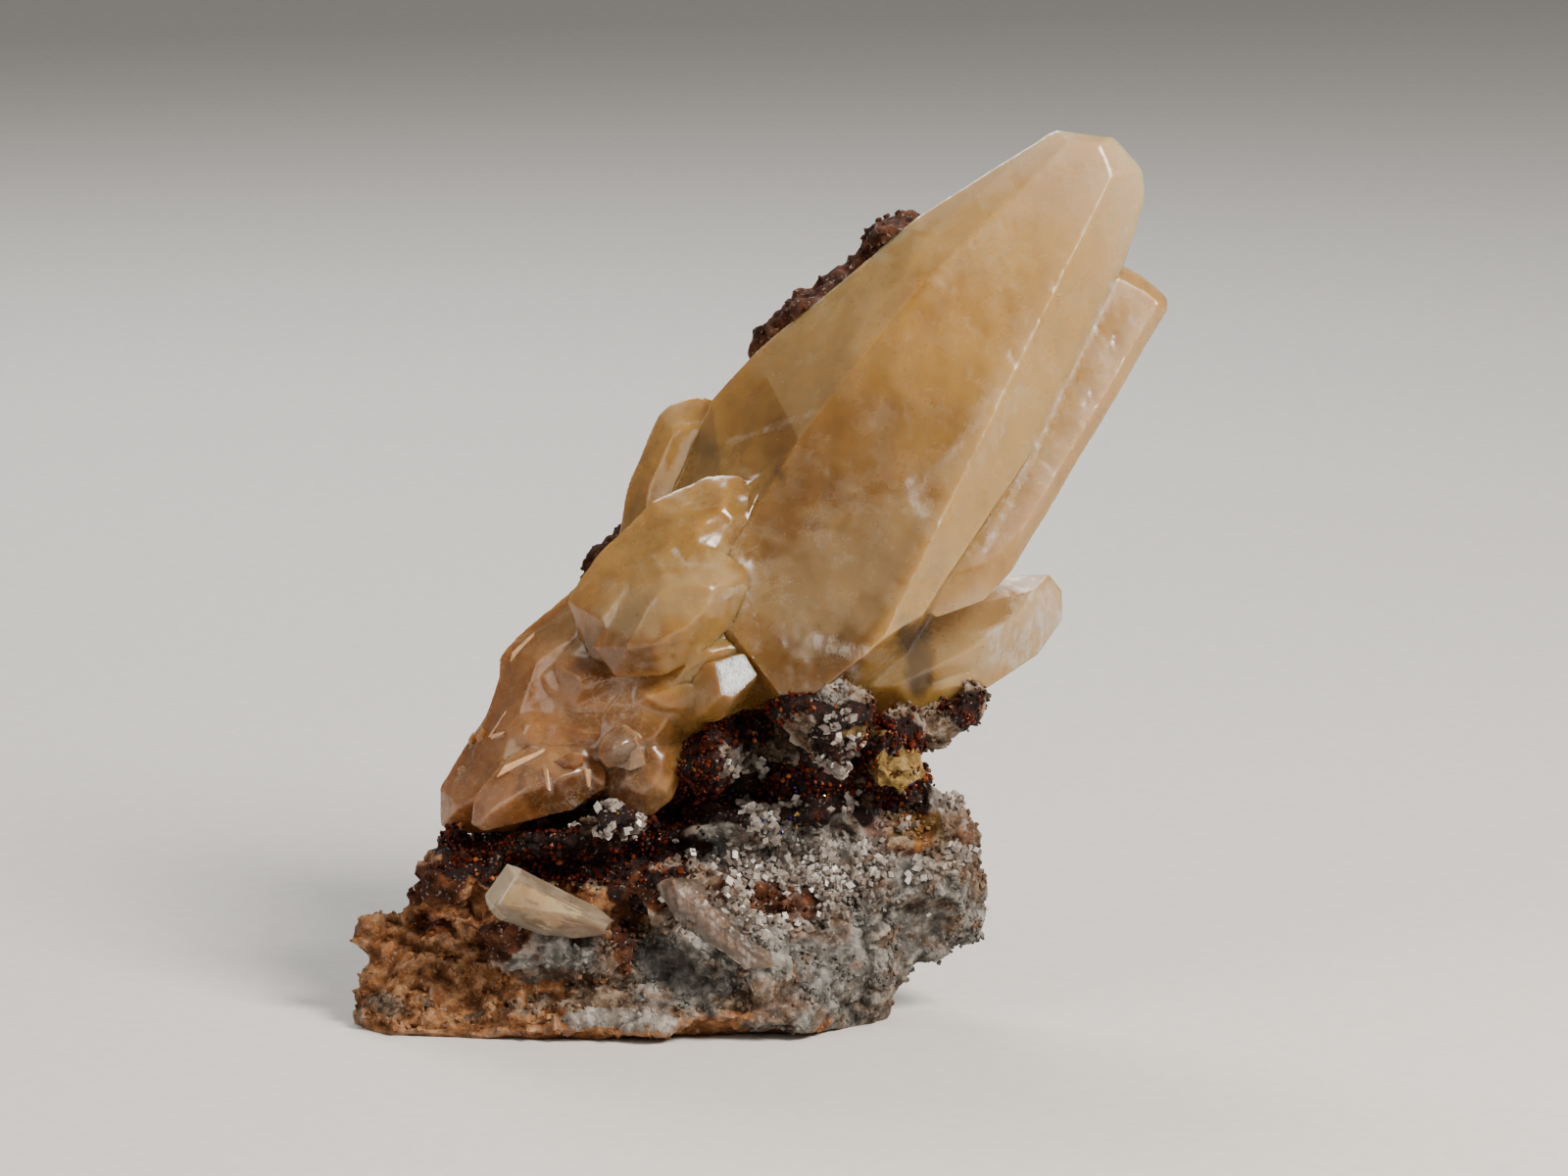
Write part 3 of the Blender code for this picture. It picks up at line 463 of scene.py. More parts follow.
    # grit of 0.6 mm; the finest of the real grit is finer than the render can show
    grit = add("TexVoronoi", {"Vector": place, "Scale": 1000 / 0.6})
    dust = add("TexNoise", {"Vector": place, "Scale": 1000 / 0.35, "Detail": 5, "Roughness": 0.7})
    relief = add("Math", {0: grit, 1: -0.6, 2: dust}, **TIMES_PLUS)
    bump = add("Bump", {"Strength": 0.9, "Distance": 0.0003, "Height": relief})
    rough = add("MapRange", {0: grain, 1: 0.3, 2: 0.7, 3: 0.95, 4: 0.7})
    glassy = add("MapRange", {0: zone["crust"], 1: 0.4, 2: 0.9})
    rough = add("Math", {0: glassy, 1: -0.35, 2: rough}, **TIMES_PLUS)
    feed(shader, {"Base Color": colour, "Normal": bump, "Roughness": rough, "Specular IOR Level": 0.2})
    return made


def grain_material(name, stops, rough, metallic=0.0, ior=1.5, scatter=0.0, glint="#ffffff"):
    """Small crystals, each in its own shade, with a faint stain over them."""
    made, add, shader = new_material(name)
    shade = add("Attribute", {}, out="Fac", attribute_name="shade")
    place = add("TexCoord", {}, out="Object")
    colour = add("ValToRGB", {0: shade}, stops)
    stain = add("TexNoise", {"Vector": place, "Scale": 1000 / 0.4, "Detail": 3, "Roughness": 0.6})
    dimmed = add("ValToRGB", {0: stain}, ((0.3, "#7a7a7a"), (0.6, "#ffffff")))
    colour = add("Mix", {0: 0.4, 6: colour, 7: dimmed}, **DARKEN)
    polish = add("MapRange", {0: stain, 1: 0.3, 2: 0.7, 3: rough[0], 4: rough[1]})
    feed(shader, {
        "Base Color": colour, "Roughness": polish, "Metallic": metallic, "Specular Tint": hex_colour(glint),
    })
    if not metallic:
        shader.inputs["IOR"].default_value = ior
    if scatter:
        feed(shader, {
            "Subsurface Weight": scatter, "Subsurface Radius": (1.0, 0.8, 0.6), "Subsurface Scale": 0.0006,
        })
    return made


# The calcite

# Faces that stand out by their tone: picture place, milkiness (also painted paler where a face is lit, and
# near 1 a painted reflection), frost, darkness seen through (painted shade)
FACES = [
    ((1090, 300), 0.6, 0.0, 0.0),
    ((1130, 160), 0.25, 0.0, 0.0),
    ((900, 250), 0.75, 0.0, 0.0),
    ((800, 350), 0.3, 0.0, 0.0),
    ((690, 440), 0.3, 0.0, 0.0),
    ((1050, 640), 0.7, 0.8, 0.0),
    ((940, 660), 0.2, 0.0, 0.3),
    ((740, 700), 1.0, 0.0, 0.0),
]

# Milky places, also painted paler where lit; painted shade seen through clear crystal; painted shade;
# frosted places and painted highlights on bright edges and cracks: from and to in the picture, reach in mm,
# kind, strength
PATCHES = [
    ((1110, 230), (960, 540), 2.6, "milky_and_lit", 0.5),
    ((1168, 330), (1050, 560), 2.5, "milky_and_lit", 0.3),
    ((1137, 290), (1005, 560), 0.35, "frost_and_highlight", 0.8),
    ((930, 500), (942, 520), 1.1, "frost_and_highlight", 0.35),
    ((998, 432), (928, 508), 0.45, "frost_and_highlight", 0.3),
    ((1040, 400), (1000, 470), 0.8, "frost_and_highlight", 0.35),
    ((832, 652), (868, 664), 0.9, "frost_and_highlight", 0.5),
    ((870, 662), (905, 672), 0.8, "frost_and_highlight", 0.4),
    ((1030, 660), (1068, 615), 3.2, "frost_and_highlight", 0.8),
    ((690, 562), (700, 577), 0.3, "frost_and_highlight", 0.8),
    ((700, 577), (728, 576), 0.3, "frost_and_highlight", 0.7),
    ((727, 615), (757, 600), 0.35, "frost_and_highlight", 0.9),
    ((744, 452), (790, 437), 0.3, "frost_and_highlight", 0.5),
    ((790, 437), (835, 420), 0.3, "frost_and_highlight", 0.4),
    ((524, 782), (556, 764), 0.35, "frost_and_highlight", 0.7),
    ((560, 778), (566, 806), 0.3, "frost_and_highlight", 0.7),
    ((602, 780), (604, 800), 0.5, "frost_and_highlight", 0.8),
    ((640, 625), (735, 590), 3.4, "milky_and_lit", 0.6),
    ((990, 240), (1080, 250), 8.0, "milky_and_lit", 0.35),
    ((930, 650), (940, 690), 2.2, "see_through_shade", 0.9),
    ((712, 455), (735, 462), 1.2, "see_through_shade", 0.3),
    ((793, 482), (798, 488), 0.5, "see_through_shade", 0.6),
    ((638, 756), (636, 770), 1.5, "see_through_shade", 0.85),
    ((550, 800), (600, 805), 2.6, "painted_shade", 0.9),
    ((815, 620), (850, 650), 3.0, "see_through_shade", 0.3),
    ((650, 790), (670, 820), 2.0, "see_through_shade", 0.6),
    ((810, 625), (850, 650), 3.2, "painted_shade", 1.0),
    ((980, 680), (1060, 640), 3.5, "milky_and_lit", 0.6),
    ((1025, 665), (1070, 612), 3.4, "milky_and_lit", 0.85),
    ((820, 600), (900, 560), 7.0, "milky_and_lit", 0.35),
    ((880, 240), (1070, 135), 4.0, "milky_and_lit", 0.75),
    ((780, 370), (900, 240), 2.0, "milky_and_lit", 0.25),
    ((610, 680), (660, 640), 4.0, "painted_shade", 0.7),
    ((600, 745), (680, 760), 3.6, "painted_shade", 0.6),
    ((680, 560), (720, 640), 4.0, "painted_shade", 0.2),
    ((715, 462), (760, 470), 3.0, "painted_shade", 0.25),
]


def reach_of(x, z, start, end, radius):
    """How near each point is to a line between two places of the picture: 1 on it, 0 at the radius and
    less than 0 beyond it."""
    ax, az = pixel(*start)
    bx, bz = pixel(*end)
    dx, dz = bx - ax, bz - az
    along = np.clip(((x - ax) * dx + (z - az) * dz) / (dx * dx + dz * dz), 0, 1)
    return 1 - np.hypot(x - ax - along * dx, z - az - along * dz) / radius


def build_calcite():
    """The cluster: the flat faces of the solid, softened, with the lower crystals grown into one another."""
    solid = welded("calcite_cluster")
    tree = BVHTree.FromBMesh(solid)
    faces = [(f.normal.copy(), f.calc_center_median()) for f in solid.faces]
    milky_and_lit, frost_and_highlight, see_through_shade = (np.zeros(len(faces)) for _ in range(3))
    eye = DRAWN_TO_WORLD.to_3x3() @ Vector((0, 1, 0))
    for (u, v), t, f, s in FACES:
        x, z = pixel(u, v)
        start = DRAWN_TO_WORLD @ Vector((x, IN_FRONT, z))
        hit = tree.ray_cast(start, eye.normalized())
        if hit[0] is None:
            continue
        n, c = faces[hit[2]]
        for i, (m, d) in enumerate(faces):
            same_way = m.dot(n) > 0.9995
            if same_way and abs((d - c).dot(n)) < 0.1 * MM:
                milky_and_lit[i], frost_and_highlight[i], see_through_shade[i] = t, f, s

    fine = finely_cut(solid, CRYSTAL_STEP)
    mesh = bpy.data.meshes.new("calcite_crystals")
    fine.to_mesh(mesh)
    fine.free()
    co = coordinates(mesh)
    drawn = to_drawn(co)
    x, z = drawn[:, 0], drawn[:, 2]
    edges = edges_of(mesh)
    # how thin the crystal is at each point, which the look paints paler as painted glow
    thin = smooth(9.0, 1.0, thickness(tree, co, normals(mesh)))
    thin = rounded(thin[:, None], edges, np.full(len(co), 0.7), 6)[:, 0]
    low_left = smooth(3, -4, x - (z - 46) * 0.15) * smooth(65, 60, z)
    low_left = np.maximum(low_left, smooth(9, 5, x) * smooth(45, 41, z) * smooth(-3, -6, drawn[:, 1]))
    co = rounded(co, edges, 0.2 + 0.2 * low_left, 2)
    set_coordinates(mesh, co)
    # the hollows between the lower crystals fill up a little, because these have grown into one another
    deepest_fill = 0.003
    for _ in range(2):
        full = rounded(co, edges, np.full(len(co), 0.8), 45)
        outward = normals(mesh)
        rise = np.maximum(((full - co) * outward).sum(1), 0) * low_left
        rise = rounded(rise[:, None], edges, np.full(len(co), 0.8), 3)[:, 0]
        co = co + outward * np.minimum(rise, deepest_fill)[:, None] * 0.9
        set_coordinates(mesh, co)
    co = rounded(co, edges, 0.3 * low_left, 2)
    set_coordinates(mesh, co)
    no = normals(mesh)
    attribute(mesh, "thin", thin * (1 - 0.4 * low_left))

    # low growth hills 9 mm wide, growth steps, small pits, and an etched roughness low on the left
    swell = clouds(drawn, 9.0, 2, 1.0) * 0.13
    steps = clouds(drawn * (1.0, 1.0, 0.55), 4.5, 3, 2.0)
    steps = (np.floor(steps * 4) + smooth(0.7, 1.0, (steps * 4) % 1.0)) / 4 * 0.05
    pits = -smooth(0.42, 0.7, clouds(drawn, 1.5, 2, 3.0)) * 0.05
    etched = clouds(drawn, 1.3, 3, 4.0) * 0.07 * low_left
    height = (swell + steps * (1 + low_left) + pits + etched) * MM
    set_coordinates(mesh, co + no * height[:, None])

    warmth = smooth(-4, -20, x + (z - 46) * 0.25) * smooth(54, 34, z)
    # painted shade: the great blade is painted darker towards its lower part, left of its right-hand edge
    right_of_edge = (x - 35.5) * 0.894 - (z - 86.2) * 0.447
    painted_shade = smooth(84, 40, z + x * 0.3 - 6) * smooth(0.5, -2.0, right_of_edge) * smooth(-6.0, 3.0, x)
    patches = {k: np.zeros(len(co)) for k in ("milky_and_lit", "frost_and_highlight", "see_through_shade", "painted_shade")}
    blotch = clouds(drawn, 1.8, 3, 5.0) * 0.45
    for start, end, radius, kind, strength in PATCHES:
        near = smooth(-0.1, 0.55, reach_of(x, z, start, end, radius) + blotch)
        near = near * smooth(3.0, 1.0, drawn[:, 1])
        patches[kind] = np.maximum(patches[kind], strength * near)
    attribute(mesh, "warmth", warmth)
    attribute(mesh, "painted_shade", np.maximum(painted_shade, patches["painted_shade"]))

    count = len(mesh.polygons)
    centre = np.empty(count * 3)
    mesh.polygons.foreach_get("center", centre)
    corners = np.empty(count * 3, np.int32)
    mesh.loops.foreach_get("vertex_index", corners)
    corners = corners.reshape(-1, 3)
    source = [tree.find_nearest(Vector(c))[2] for c in centre.reshape(-1, 3)]
    for name, by_face in (("milky_and_lit", milky_and_lit), ("frost_and_highlight", frost_and_highlight), ("see_through_shade", see_through_shade)):
        near = patches[name][corners].mean(1)
        attribute(mesh, name, np.maximum(by_face[source], near), "FACE")
    mesh.shade_smooth()
    mesh.set_sharp_from_angle(angle=math.radians(40))
    # large honey crystals: much light goes in, so they glow a little; their thin edges look pale, partly by
    # that glow and partly by painted glow
    look = calcite(
        "calcite_honey_grown", ("#a97c38", "#bb9048", "#c8a05a"), ("#8a522a", "#aa703c", "#c08c58"),
        "#c6ae82", (0.16, 0.36), 1.0, 0.45,
    )
    return put("calcite_crystals", mesh, look, "calcite", "calcite_cluster")


# Thin bright blades on the lower crystals: from and to in the picture, width in mm, tilt in degrees
FLAKES = [
    ((524, 669), (548, 648), 0.6, 20), ((499, 742), (525, 731), 0.5, -25), ((501, 752), (522, 744), 0.4, 20),
    ((516, 786), (558, 763), 0.8, 15), ((559, 779), (566, 804), 0.5, 35), ((600, 780), (606, 801), 0.8, -30),
]


def build_flakes(cluster):
    """Small thin blades of calcite that stand a little out of the lower crystals and catch the light."""
    mesh = cluster.data
    faces = [list(p.vertices) for p in mesh.polygons]
    tree = BVHTree.FromPolygons(coordinates(mesh).tolist(), faces)
    eye = (DRAWN_TO_WORLD.to_3x3() @ Vector((0, 1, 0))).normalized()
    bm = bmesh.new()
    for low_end, high_end, width, tilt in FLAKES:
        (ax, az), (bx, bz) = pixel(*low_end), pixel(*high_end)
        start = DRAWN_TO_WORLD @ Vector(((ax + bx) / 2, IN_FRONT, (az + bz) / 2))
        hit, normal, _, _ = tree.ray_cast(start, eye)
        if hit is None:
            continue
        along = (DRAWN_TO_WORLD.to_3x3() @ Vector((bx - ax, 0, bz - az))).normalized()
        along = (along - normal * along.dot(normal)).normalized()
        across = Matrix.Rotation(math.radians(tilt), 3, along) @ normal.cross(along)
        axes = Matrix((along, across, along.cross(across))).transposed().to_4x4()
        made = bmesh.ops.create_cube(bm, size=1.0)["verts"]
        for v in made:
            v.co.y *= 0.45 if v.co.x > 0 else 1.0
            v.co.x += v.co.y * 0.25
        length = math.hypot(bx - ax, bz - az)
        size = Matrix.Diagonal((length * MM, width * MM, FLAKE_THICK * MM, 1.0))
        place = Matrix.Translation(hit + normal * 0.00002)
        bmesh.ops.transform(bm, matrix=place @ axes @ size, verts=made)
    bmesh.ops.triangulate(bm, faces=bm.faces[:])
    made = bpy.data.meshes.new("calcite_flakes")
    bm.to_mesh(made)
    bm.free()
    attribute(made, "shade", 0.5 + 0.5 * clouds(coordinates(made) / MM, 3.0, 2, 71.0))
    # calcite cleaved into thin plates: pale honey, smooth, and bright where it faces the light
    look = grain_material(
        "calcite_cleaved_flakes", ((0.0, "#b58257"), (1.0, "#e2bb8e")), (0.1, 0.3), ior=1.58,
    )
    put("calcite_flakes", made, look, "calcite")


def build_prism(name, node_name, slot, look, marks, grain):
    """A small prism. marks are streaks of warmth, of milkiness and painted light, or of frost and painted
    highlight on it: from, to, reach, kind, strength.
    """
    fine = finely_cut(welded(node_name), PRISM_STEP)
    mesh = bpy.data.meshes.new(name)
    fine.to_mesh(mesh)
    fine.free()
    co = coordinates(mesh)
    drawn = to_drawn(co)
    height = (clouds(drawn, 2.5, 3, 8.0) * 0.05 + clouds(drawn, 0.6, 3, 9.0) * grain) * MM
    set_coordinates(mesh, co + normals(mesh) * height[:, None])
    values = {
        "milky_and_lit": 0.15 + smooth(0.0, 0.5, clouds(drawn, 2.0, 3, 4.0)) * 0.3,
        "frost_and_highlight": smooth(0.1, 0.6, clouds(drawn, 1.4, 3, 6.0)) * 0.3,
    }
    for key in ("warmth", "see_through_shade", "painted_shade", "thin"):
        values[key] = np.zeros(len(co))
    for start, end, radius, kind, strength in marks:
        ax, az = pixel(*start)
        bx, bz = pixel(*end)
        way = np.array([bx - ax, 0, bz - az]) / math.hypot(bx - ax, bz - az)
        ragged = 0.8 if kind == "warmth" else 0.2
        streak = clouds(drawn - np.outer(drawn @ way, way * 0.88), 0.5, 3, 3.0) * ragged
        near = smooth(0.0, 0.3, reach_of(drawn[:, 0], drawn[:, 2], start, end, radius) + streak)
        values[kind] = np.maximum(values[kind], near * strength)
    for key, value in values.items():
        attribute(mesh, key, value)
    mesh.shade_smooth()
    mesh.set_sharp_from_angle(angle=math.radians(16))
    put(name, mesh, look, slot, node_name)


# The rock

# Where each kind of rock lies: kind, picture place, half width and height, strength, least and most depth
ZONES = [
    ("crust", (735, 720), (62, 42), 1.0, -40, 8), ("crust", (715, 790), (34, 44), 1.0, -40, 8),
    ("crust", (880, 760), (62, 44), 0.9, -40, 10), ("crust", (800, 705), (40, 30), 1.0, -40, 10),
    ("crust", (985, 725), (26, 26), 0.7, -40, 20), ("crust", (570, 870), (130, 34), 1.0, -40, 10),
    ("crust", (500, 860), (60, 26), 1.0, -40, 10), ("crust", (780, 810), (130, 34), 1.0, -40, 20),
    ("crust", (915, 800), (40, 30), 0.9, -40, 10), ("crust", (660, 830), (60, 30), 0.9, -40, 10),
    ("grey", (853, 744), (30, 46), 1.1, -40, 4), ("grey", (755, 785), (22, 26), 1.1, -40, 4),
    ("grey", (810, 850), (110, 46), 1.0, -40, -4), ("grey", (900, 960), (160, 110), 0.9, -40, 4),
    ("grey", (575, 968), (62, 26), 1.0, -40, 0), ("grey", (632, 835), (30, 22), 1.0, -40, 0),
    ("grey", (585, 855), (20, 14), 0.8, -40, 0), ("grey", (700, 985), (70, 46), 0.7, -40, 0),
    # the umber zones that reach far back, behind the crystals, are painted shade; in front, umber is the
    # dark brown of the rock
    ("brown", (470, 930), (170, 110), 1.0, -40, 30), ("umber_and_shade", (820, 300), (180, 180), 1.2, -10, 40),
    ("umber_and_shade", (600, 570), (70, 120), 1.0, -10, 40), ("umber_and_shade", (800, 914), (46, 20), 0.65, -40, 0),
    ("umber_and_shade", (690, 902), (64, 24), 0.9, -40, 0),
    ("umber_and_shade", (640, 950), (14, 40), 0.8, -40, 0), ("umber_and_shade", (516, 952), (36, 18), 0.9, -40, 0),
    ("umber_and_shade", (430, 900), (60, 22), 0.8, -40, 10), ("brown", (700, 1045), (420, 26), 0.7, -40, 30),
    ("orange", (430, 950), (60, 34), 0.25, -40, 20), ("orange", (446, 941), (20, 14), 1.2, -40, 10),
    ("orange", (930, 845), (40, 22), 0.8, -40, 10), ("orange", (820, 300), (150, 160), 0.25, -10, 40),
    ("orange", (660, 885), (40, 14), 0.5, -40, 0), ("orange", (985, 850), (16, 20), 0.5, -40, 30),
    ("pale", (880, 850), (60, 26), 0.5, -40, 0), ("pale", (640, 1030), (60, 10), 0.9, -40, 0),
    ("pale", (845, 720), (26, 20), 0.6, -40, 0), ("pale", (960, 810), (30, 16), 0.7, -40, 20),
    ("pale", (720, 925), (50, 30), 0.4, -40, 0),
    ("ochre", (913, 783), (28, 20), 1.2, -40, 0), ("ochre", (880, 745), (30, 10), 0.4, -40, 0),
    ("ochre", (940, 845), (40, 20), 0.5, -40, 20),
]


def zones_at(drawn):
    """How much each point is of each kind of rock."""
    x, y, z = drawn.T
    wobble = clouds(drawn, 3.0, 3, 7.0)
    found = {kind: np.zeros(len(drawn)) for kind in ROCK_KINDS}
    for kind, (u, v), (w, h), strength, near, far in ZONES:
        px, pz = pixel(u, v)
        wide, high = w / PIXELS_PER_MM, h / PIXELS_PER_MM
        away = np.hypot((x - px) / wide, (z - pz) / high) + wobble * 0.45
        inside = smooth(near - 1.5, near + 1.5, y) * smooth(far + 2.5, far - 2.5, y)
        found[kind] = np.maximum(found[kind], strength * smooth(1.2, 0.75, away) * inside)
    back = smooth(4.0, 12.0, y)
    found["brown"] = np.maximum(found["brown"], back * (0.75 + 0.4 * wobble))
    found["grey"] = np.maximum(found["grey"], back * smooth(0.15, 0.5, clouds(drawn, 9.0, 2, 12.0)))
    found["orange"] = np.maximum(found["orange"], back * smooth(0.2, 0.6, clouds(drawn, 6.0, 3, 13.0)))
    return found


def grown_on(points, reach=0.0009, inside=0.00015):
    """Draws the rock that all but touches a crystal up against it, so no gap shows between them."""
    crystals = [welded(n) for n in ("calcite_cluster", "ledge_prism", "lying_prism")]
    trees = [BVHTree.FromBMesh(bm) for bm in crystals]
    for i, p in enumerate(points):
        for tree in trees:
            near, n, _, away = tree.find_nearest(Vector(p), reach)
            if near is not None and (away < 0.0001 or (Vector(p) - near).dot(n) > 0):
                points[i] = near - n * inside
    for bm in crystals:
        bm.free()
    return points


def build_rock():
    """The rock: the lumps of the solid, broken into blocks, layers and grains."""
    solid = welded("matrix_rock")
    blank = bpy.data.meshes.new("rock_blank")
    solid.to_mesh(blank)
    solid.free()
    mesh = remeshed(blank, ROCK_STEP)
    co = coordinates(mesh)
    no = normals(mesh)
    drawn = to_drawn(co)
    zone = zones_at(drawn)

    # lumps, blocks and grit, with sugary grains and pebbles in the grey rock and thin layers in the brown
    lump = (0.35 - np.abs(clouds(drawn, 7.0, 4, 1.5))) * 2.2
    sugar = (0.55 - cells(drawn, 1.5, 2.0)) * 0.8
    grit = (0.5 - cells(drawn, 0.85, 3.0)) * 0.45
    tilt = drawn[:, 2] + drawn[:, 0] * 0.16 + clouds(drawn, 7.0, 2, 4.0) * 2.4
    tilt = tilt + clouds(drawn, 2.5, 3, 6.0) * 1.2
    layer = np.abs((tilt / 2.7) % 1.0 - 0.5) * 2
    layer = (smooth(0.2, 0.75, layer) - 0.5) * 0.9 * smooth(-0.2, 0.3, clouds(drawn, 5.0, 2, 8.0))
    layer = layer * smooth(45, 35, drawn[:, 2])
    pebble = (0.5 - cells(drawn, 3.2, 5.0)) * 0.9
    brown = np.clip(zone["brown"], 0, 1)
    block = blocks(drawn, 5.5, 1.0) * 0.6 + blocks(drawn, 2.4, 2.0) * 0.26 + blocks(drawn, 1.2, 3.0) * 0.14
    height = lump * 0.28 + block + grit * (0.5 - 0.25 * brown) + sugar * 0.3 * (1 - brown)
    height = height + layer * brown + pebble * (1 - brown) * 0.25 - 0.3
    seated = smooth(0.0, 1.2, co[:, 2] / MM)
    moved = grown_on(co + no * (height * seated * MM)[:, None])
    moved[:, 2] = np.maximum(moved[:, 2], 0.0)
    low, high = (np.array(c) for c in CAD_BOX)
    set_coordinates(mesh, np.clip(moved, low, high))
    for name, values in zone.items():
        attribute(mesh, name, np.clip(values, 0, 1))
    edges = edges_of(mesh)
    softened = rounded(moved, edges, np.full(len(co), 0.7), 10)
    hollow = ((softened - moved) * normals(mesh)).sum(1) / MM
    attribute(mesh, "hollow", smooth(-0.7, 0.7, hollow))
    mesh.shade_smooth()
    mesh.set_sharp_from_angle(angle=math.radians(40))
    return put("rock", mesh, rock_material(), "rock", "matrix_rock")


# Small crystals

def template(kind):
    """One small crystal about 2 across, as vertices and triangles."""
    bm = bmesh.new()
    if kind == "rhomb":
        bmesh.ops.create_cube(bm, size=1.6)
        for v in bm.verts:
            v.co.x += v.co.y * 0.28 + v.co.z * 0.22
            v.co.y += v.co.z * 0.26
    elif kind == "tooth":
        bmesh.ops.create_cone(bm, segments=6, radius1=0.62, radius2=0.2, depth=1.1, cap_ends=True)
        for v in bm.verts:
            v.co.x *= 1.25 if v.co.y > 0.1 else 0.95
            v.co.z += (0.32 * v.co.x + 0.12 * v.co.y) * (v.co.z > 0)
    elif kind == "tetrahedron":
        bmesh.ops.create_cone(bm, segments=3, radius1=1.1, radius2=0.25, depth=1.6, cap_ends=True)
    else:
        bmesh.ops.create_icosphere(bm, subdivisions=1, radius=1.0)
        for v in bm.verts:
            v.co *= 0.78 + 0.3 * rng.random()
            v.co.x = max(-0.72, min(0.8, v.co.x))
    bmesh.ops.triangulate(bm, faces=bm.faces[:])
    bm.verts.ensure_lookup_table()
    verts = np.array([v.co for v in bm.verts])
    tris = np.array([[v.index for v in f.verts] for f in bm.faces])
    bm.free()
    return verts, tris


def turned(count):
    """Random rotations."""
    q = rng.normal(size=(count, 4))
    q /= np.linalg.norm(q, axis=1)[:, None]
    w, x, y, z = q.T
    return np.stack(
        [
            1 - 2 * (y * y + z * z), 2 * (x * y - w * z), 2 * (x * z + w * y),
            2 * (x * y + w * z), 1 - 2 * (x * x + z * z), 2 * (y * z - w * x),
            2 * (x * z - w * y), 2 * (y * z + w * x), 1 - 2 * (x * x + y * y),
        ],
        axis=1,
    ).reshape(-1, 3, 3)


def aimed(directions):
    """Rotations that carry +Z to each direction."""
    return np.array([Vector(d).to_track_quat("Z", "Y").to_matrix() for d in directions])


def sprinkle(name, places, outward, sizes, kinds, look, slot, sink=0.25, kept=(), turn=None):
    """Many small crystals grown on a surface, as one piece. kept are more values, one for each crystal."""
    shapes = [template(k) for k in kinds]
    chosen = rng.integers(len(shapes), size=len(places))
    turn = turned(len(places)) if turn is None else turn
    stretch = rng.uniform(0.75, 1.25, (len(places), 3))
    shade = rng.random(len(places))
    all_verts, all_tris, owners = [], [], []
    start = 0
    for k, (verts, tris) in enumerate(shapes):
        pick = np.flatnonzero(chosen == k)
        if not len(pick):
            continue
        shaped = np.einsum("nij,nvj->nvi", turn[pick], verts[None] * stretch[pick][:, None])
        size = (sizes[pick] * MM / 2)[:, None, None]
        seat = places[pick] + outward[pick] * (sizes[pick] * MM * sink)[:, None]
        shaped = shaped * size + seat[:, None]
        all_verts.append(shaped.reshape(-1, 3))
        offsets = start + np.arange(len(pick)) * len(verts)
        all_tris.append((tris[None] + offsets[:, None, None]).reshape(-1, 3))
        owners.append(np.repeat(pick, len(verts)))
        start += len(pick) * len(verts)
    verts = np.concatenate(all_verts)
    low, high = (np.array(c) for c in CAD_BOX)
    verts = np.clip(verts, low, high)
    tris = np.concatenate(all_tris)
    mesh = bpy.data.meshes.new(name)
    mesh.from_pydata(verts.tolist(), [], tris.tolist())
    mesh.update()
    owners = np.concatenate(owners)
    attribute(mesh, "shade", shade[owners])
    for key, values in dict(kept).items():
        attribute(mesh, key, values[owners])
    return put(name, mesh, look, slot)


def scatter_on(mesh, weight, count, kept=()):
    """Random places on a mesh, more where weight is high, with the normals there and the kept values."""
    total = len(mesh.polygons)
    area = np.empty(total)
    mesh.polygons.foreach_get("area", area)
    centre = np.empty(total * 3)
    mesh.polygons.foreach_get("center", centre)
    normal = np.empty(total * 3)
    mesh.polygons.foreach_get("normal", normal)
    sides = np.array([p.vertices[:3] for p in mesh.polygons])
    chance = area * weight[sides].mean(1)
    chance /= chance.sum()
    pick = rng.choice(total, size=count, p=chance)
    jitter = rng.normal(size=(count, 3)) * 0.00012
    held = {k: v[sides[pick, 0]] for k, v in dict(kept).items()}
    return centre.reshape(-1, 3)[pick] + jitter, normal.reshape(-1, 3)[pick], held


def build_small_calcites(cluster):
    """The many small crystals that have grown between the large ones at the lower left."""
    mesh = cluster.data
    drawn = to_drawn(coordinates(mesh))
    x, y, z = drawn.T
    weight = smooth(-9, -13, x) * smooth(44, 38, z) * (0.1 + (clouds(drawn, 4.0, 2, 41.0) > 0.1))
    facing = (normals(mesh) @ np.array(WORLD_TO_DRAWN.to_3x3()).T * MM)[:, 1]
    weight = weight * smooth(9, 4, y) * smooth(25.5, 27.5, z) * (0.02 + smooth(-0.8, -0.45, facing))
    held = {}
    for key in ("warmth", "milky_and_lit", "frost_and_highlight", "see_through_shade", "painted_shade", "thin"):
        data = mesh.attributes[key]
        values = np.zeros(len(data.data))
        data.data.foreach_get("value", values)
        held[key] = values if data.domain == "POINT" else np.zeros(len(drawn))
    places, outward, kept = scatter_on(mesh, weight, SMALL_CALCITE_COUNT, held)
    rise = np.array(DRAWN_TO_WORLD.to_3x3() @ Vector((-0.15, -0.5, 0.85))) / MM
    way = outward * 0.7 + rise + rng.normal(size=outward.shape) * 0.35
    sizes = rng.uniform(*SMALL_CALCITE, len(places))
    sprinkle(
        "small_calcites", places, outward, sizes, ["tooth"] * 3, mesh.materials[0], "calcite",
        -0.26, kept, aimed(way),
    )


